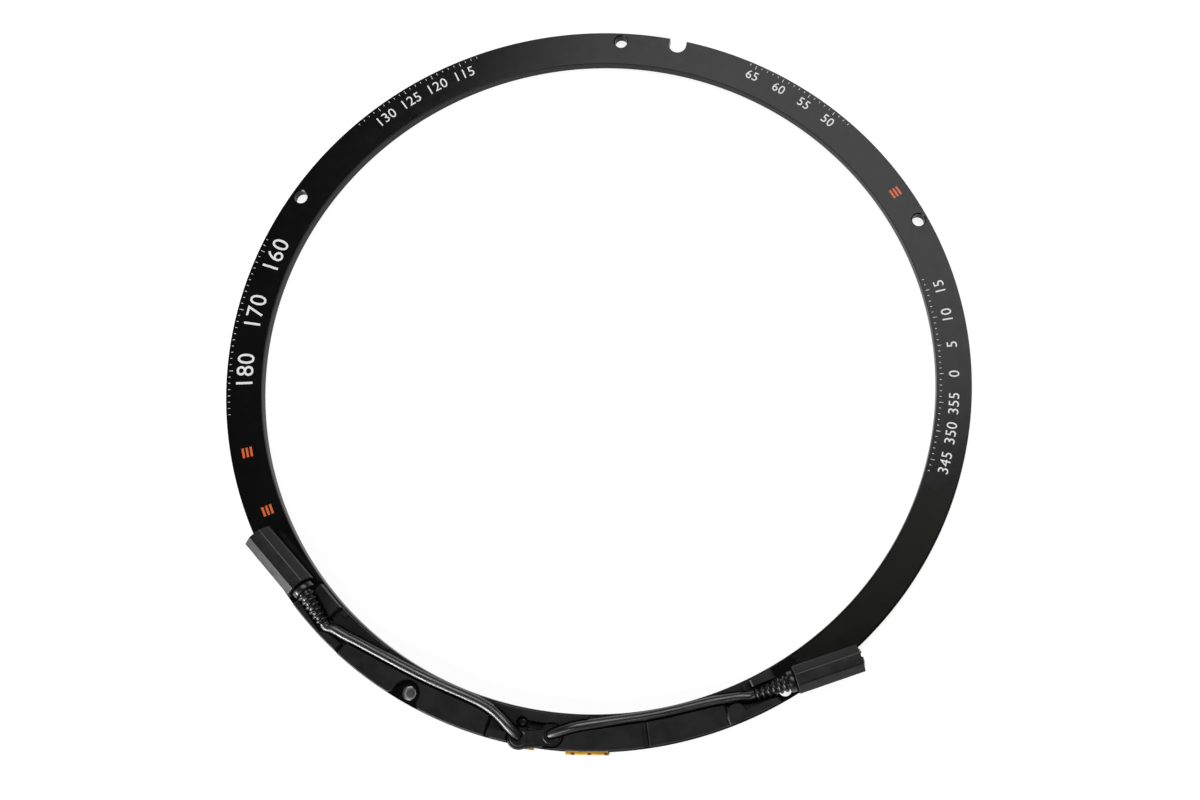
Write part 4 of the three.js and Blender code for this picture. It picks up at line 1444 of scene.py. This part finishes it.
@dataclass
class SensorLead(Lead):
    """Lead with a sensor socket: nickel bushing that stands proud of the body."""

    proud: float = 0.6

    def make_contacts(self) -> list[bpy.types.Object]:
        """Bushing, liner and tip contact.

        Returns:
            The three pieces.
        """
        end = self.jack_length + self.proud
        front = self.jack_length - 5.0
        bushing = [
            (1.85, front), (2.7, front), (2.7, end - 0.18), (2.62, end - 0.06), (2.5, end),
            (2.1, end), (1.95, end - 0.08), (1.85, end - 0.3),
        ]
        back = self.jack_length - self.inner_depth + self.gap
        shoulder, floor = front - 0.4, back + 1.4
        liner = [(0, back), (2.5, back), (2.5, shoulder), (1.85, shoulder), (1.85, floor), (0, floor)]
        foot = floor + 0.2
        tip = [(0, foot), (0.8, foot), (0.8, foot + 2.9), (0.6, foot + 3.2), (0, foot + 3.2)]
        return [
            self.turned_piece("right_jack_bushing", bushing, NICKEL),
            self.turned_piece("right_jack_insulator", liner, WHITE_PLASTIC),
            self.turned_piece("right_jack_contact", tip, GOLD),
        ]


LEFT_ROUTE: tuple[Point, ...] = (
    (258.95, 111.3, 5.5), (258.35, 110.65, 6.15), (257.6, 109.7, 6.65), (256.7, 108.5, 6.9),
    (255.6, 107.2, 6.8), (254.2, 106.0, 6.35), (252.2, 105.0, 5.8), (249.5, 104.5, 5.5),
    (247.0, 104.4, 5.5), (244.5, 104.5, 5.5), (241.7, 104.7, 5.5), (238.7, 105.05, 5.5),
    (235.6, 105.6, 5.5), (232.5, 106.45, 5.5), (229.9, 107.4, 5.55), (227.8, 108.45, 5.6),
    (225.8, 109.4, 5.75), (224.05, 110.0, 5.95),
)
RIGHT_ROUTE: tuple[Point, ...] = (
    (263.5, 109.5, 5.5), (264.25, 108.9, 6.15), (265.15, 108.15, 6.65), (266.3, 107.3, 6.9),
    (267.7, 106.55, 6.8), (269.4, 105.95, 6.35), (271.7, 105.4, 5.8), (274.5, 104.95, 5.5),
    (277.5, 104.75, 5.5), (280.5, 104.65, 5.5), (283.5, 104.65, 5.5), (286.5, 104.8, 5.5),
    (289.0, 105.2, 5.55), (291.2, 105.95, 5.6), (293.2, 106.9, 5.75), (295.75, 108.3, 5.95),
)


def main() -> None:
    """Builds the ring round the fixed frame."""
    logging.basicConfig(level=logging.INFO, format="%(name)s: %(message)s")
    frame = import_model()
    nodes = frame["nodes"]
    Studio().build()
    PowerLead(
        "left", LEFT_ROUTE, jack_heading=131.9, boot_heading=123.1, roll=5.0, bore=6.8, bore_depth=10.0
    ).build()
    SensorLead(
        "right", RIGHT_ROUTE, jack_heading=18.6, boot_heading=19.4, roll=0.0, bore=5.8, bore_depth=5.2,
        inner_bore=5.4, inner_depth=13.5,
    ).build()
    RingPlate().build()
    HeaterFilm().build()
    WiringCover().build(nodes)
    label = round_edges(solid_copy(nodes["blank_label"]), 0.03, 60.0, 1)
    add_piece("blank_label_fine", label, LABEL_FILM, ["blank_label"])
    RingPrint().build()
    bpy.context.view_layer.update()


if __name__ == "__main__":
    main()
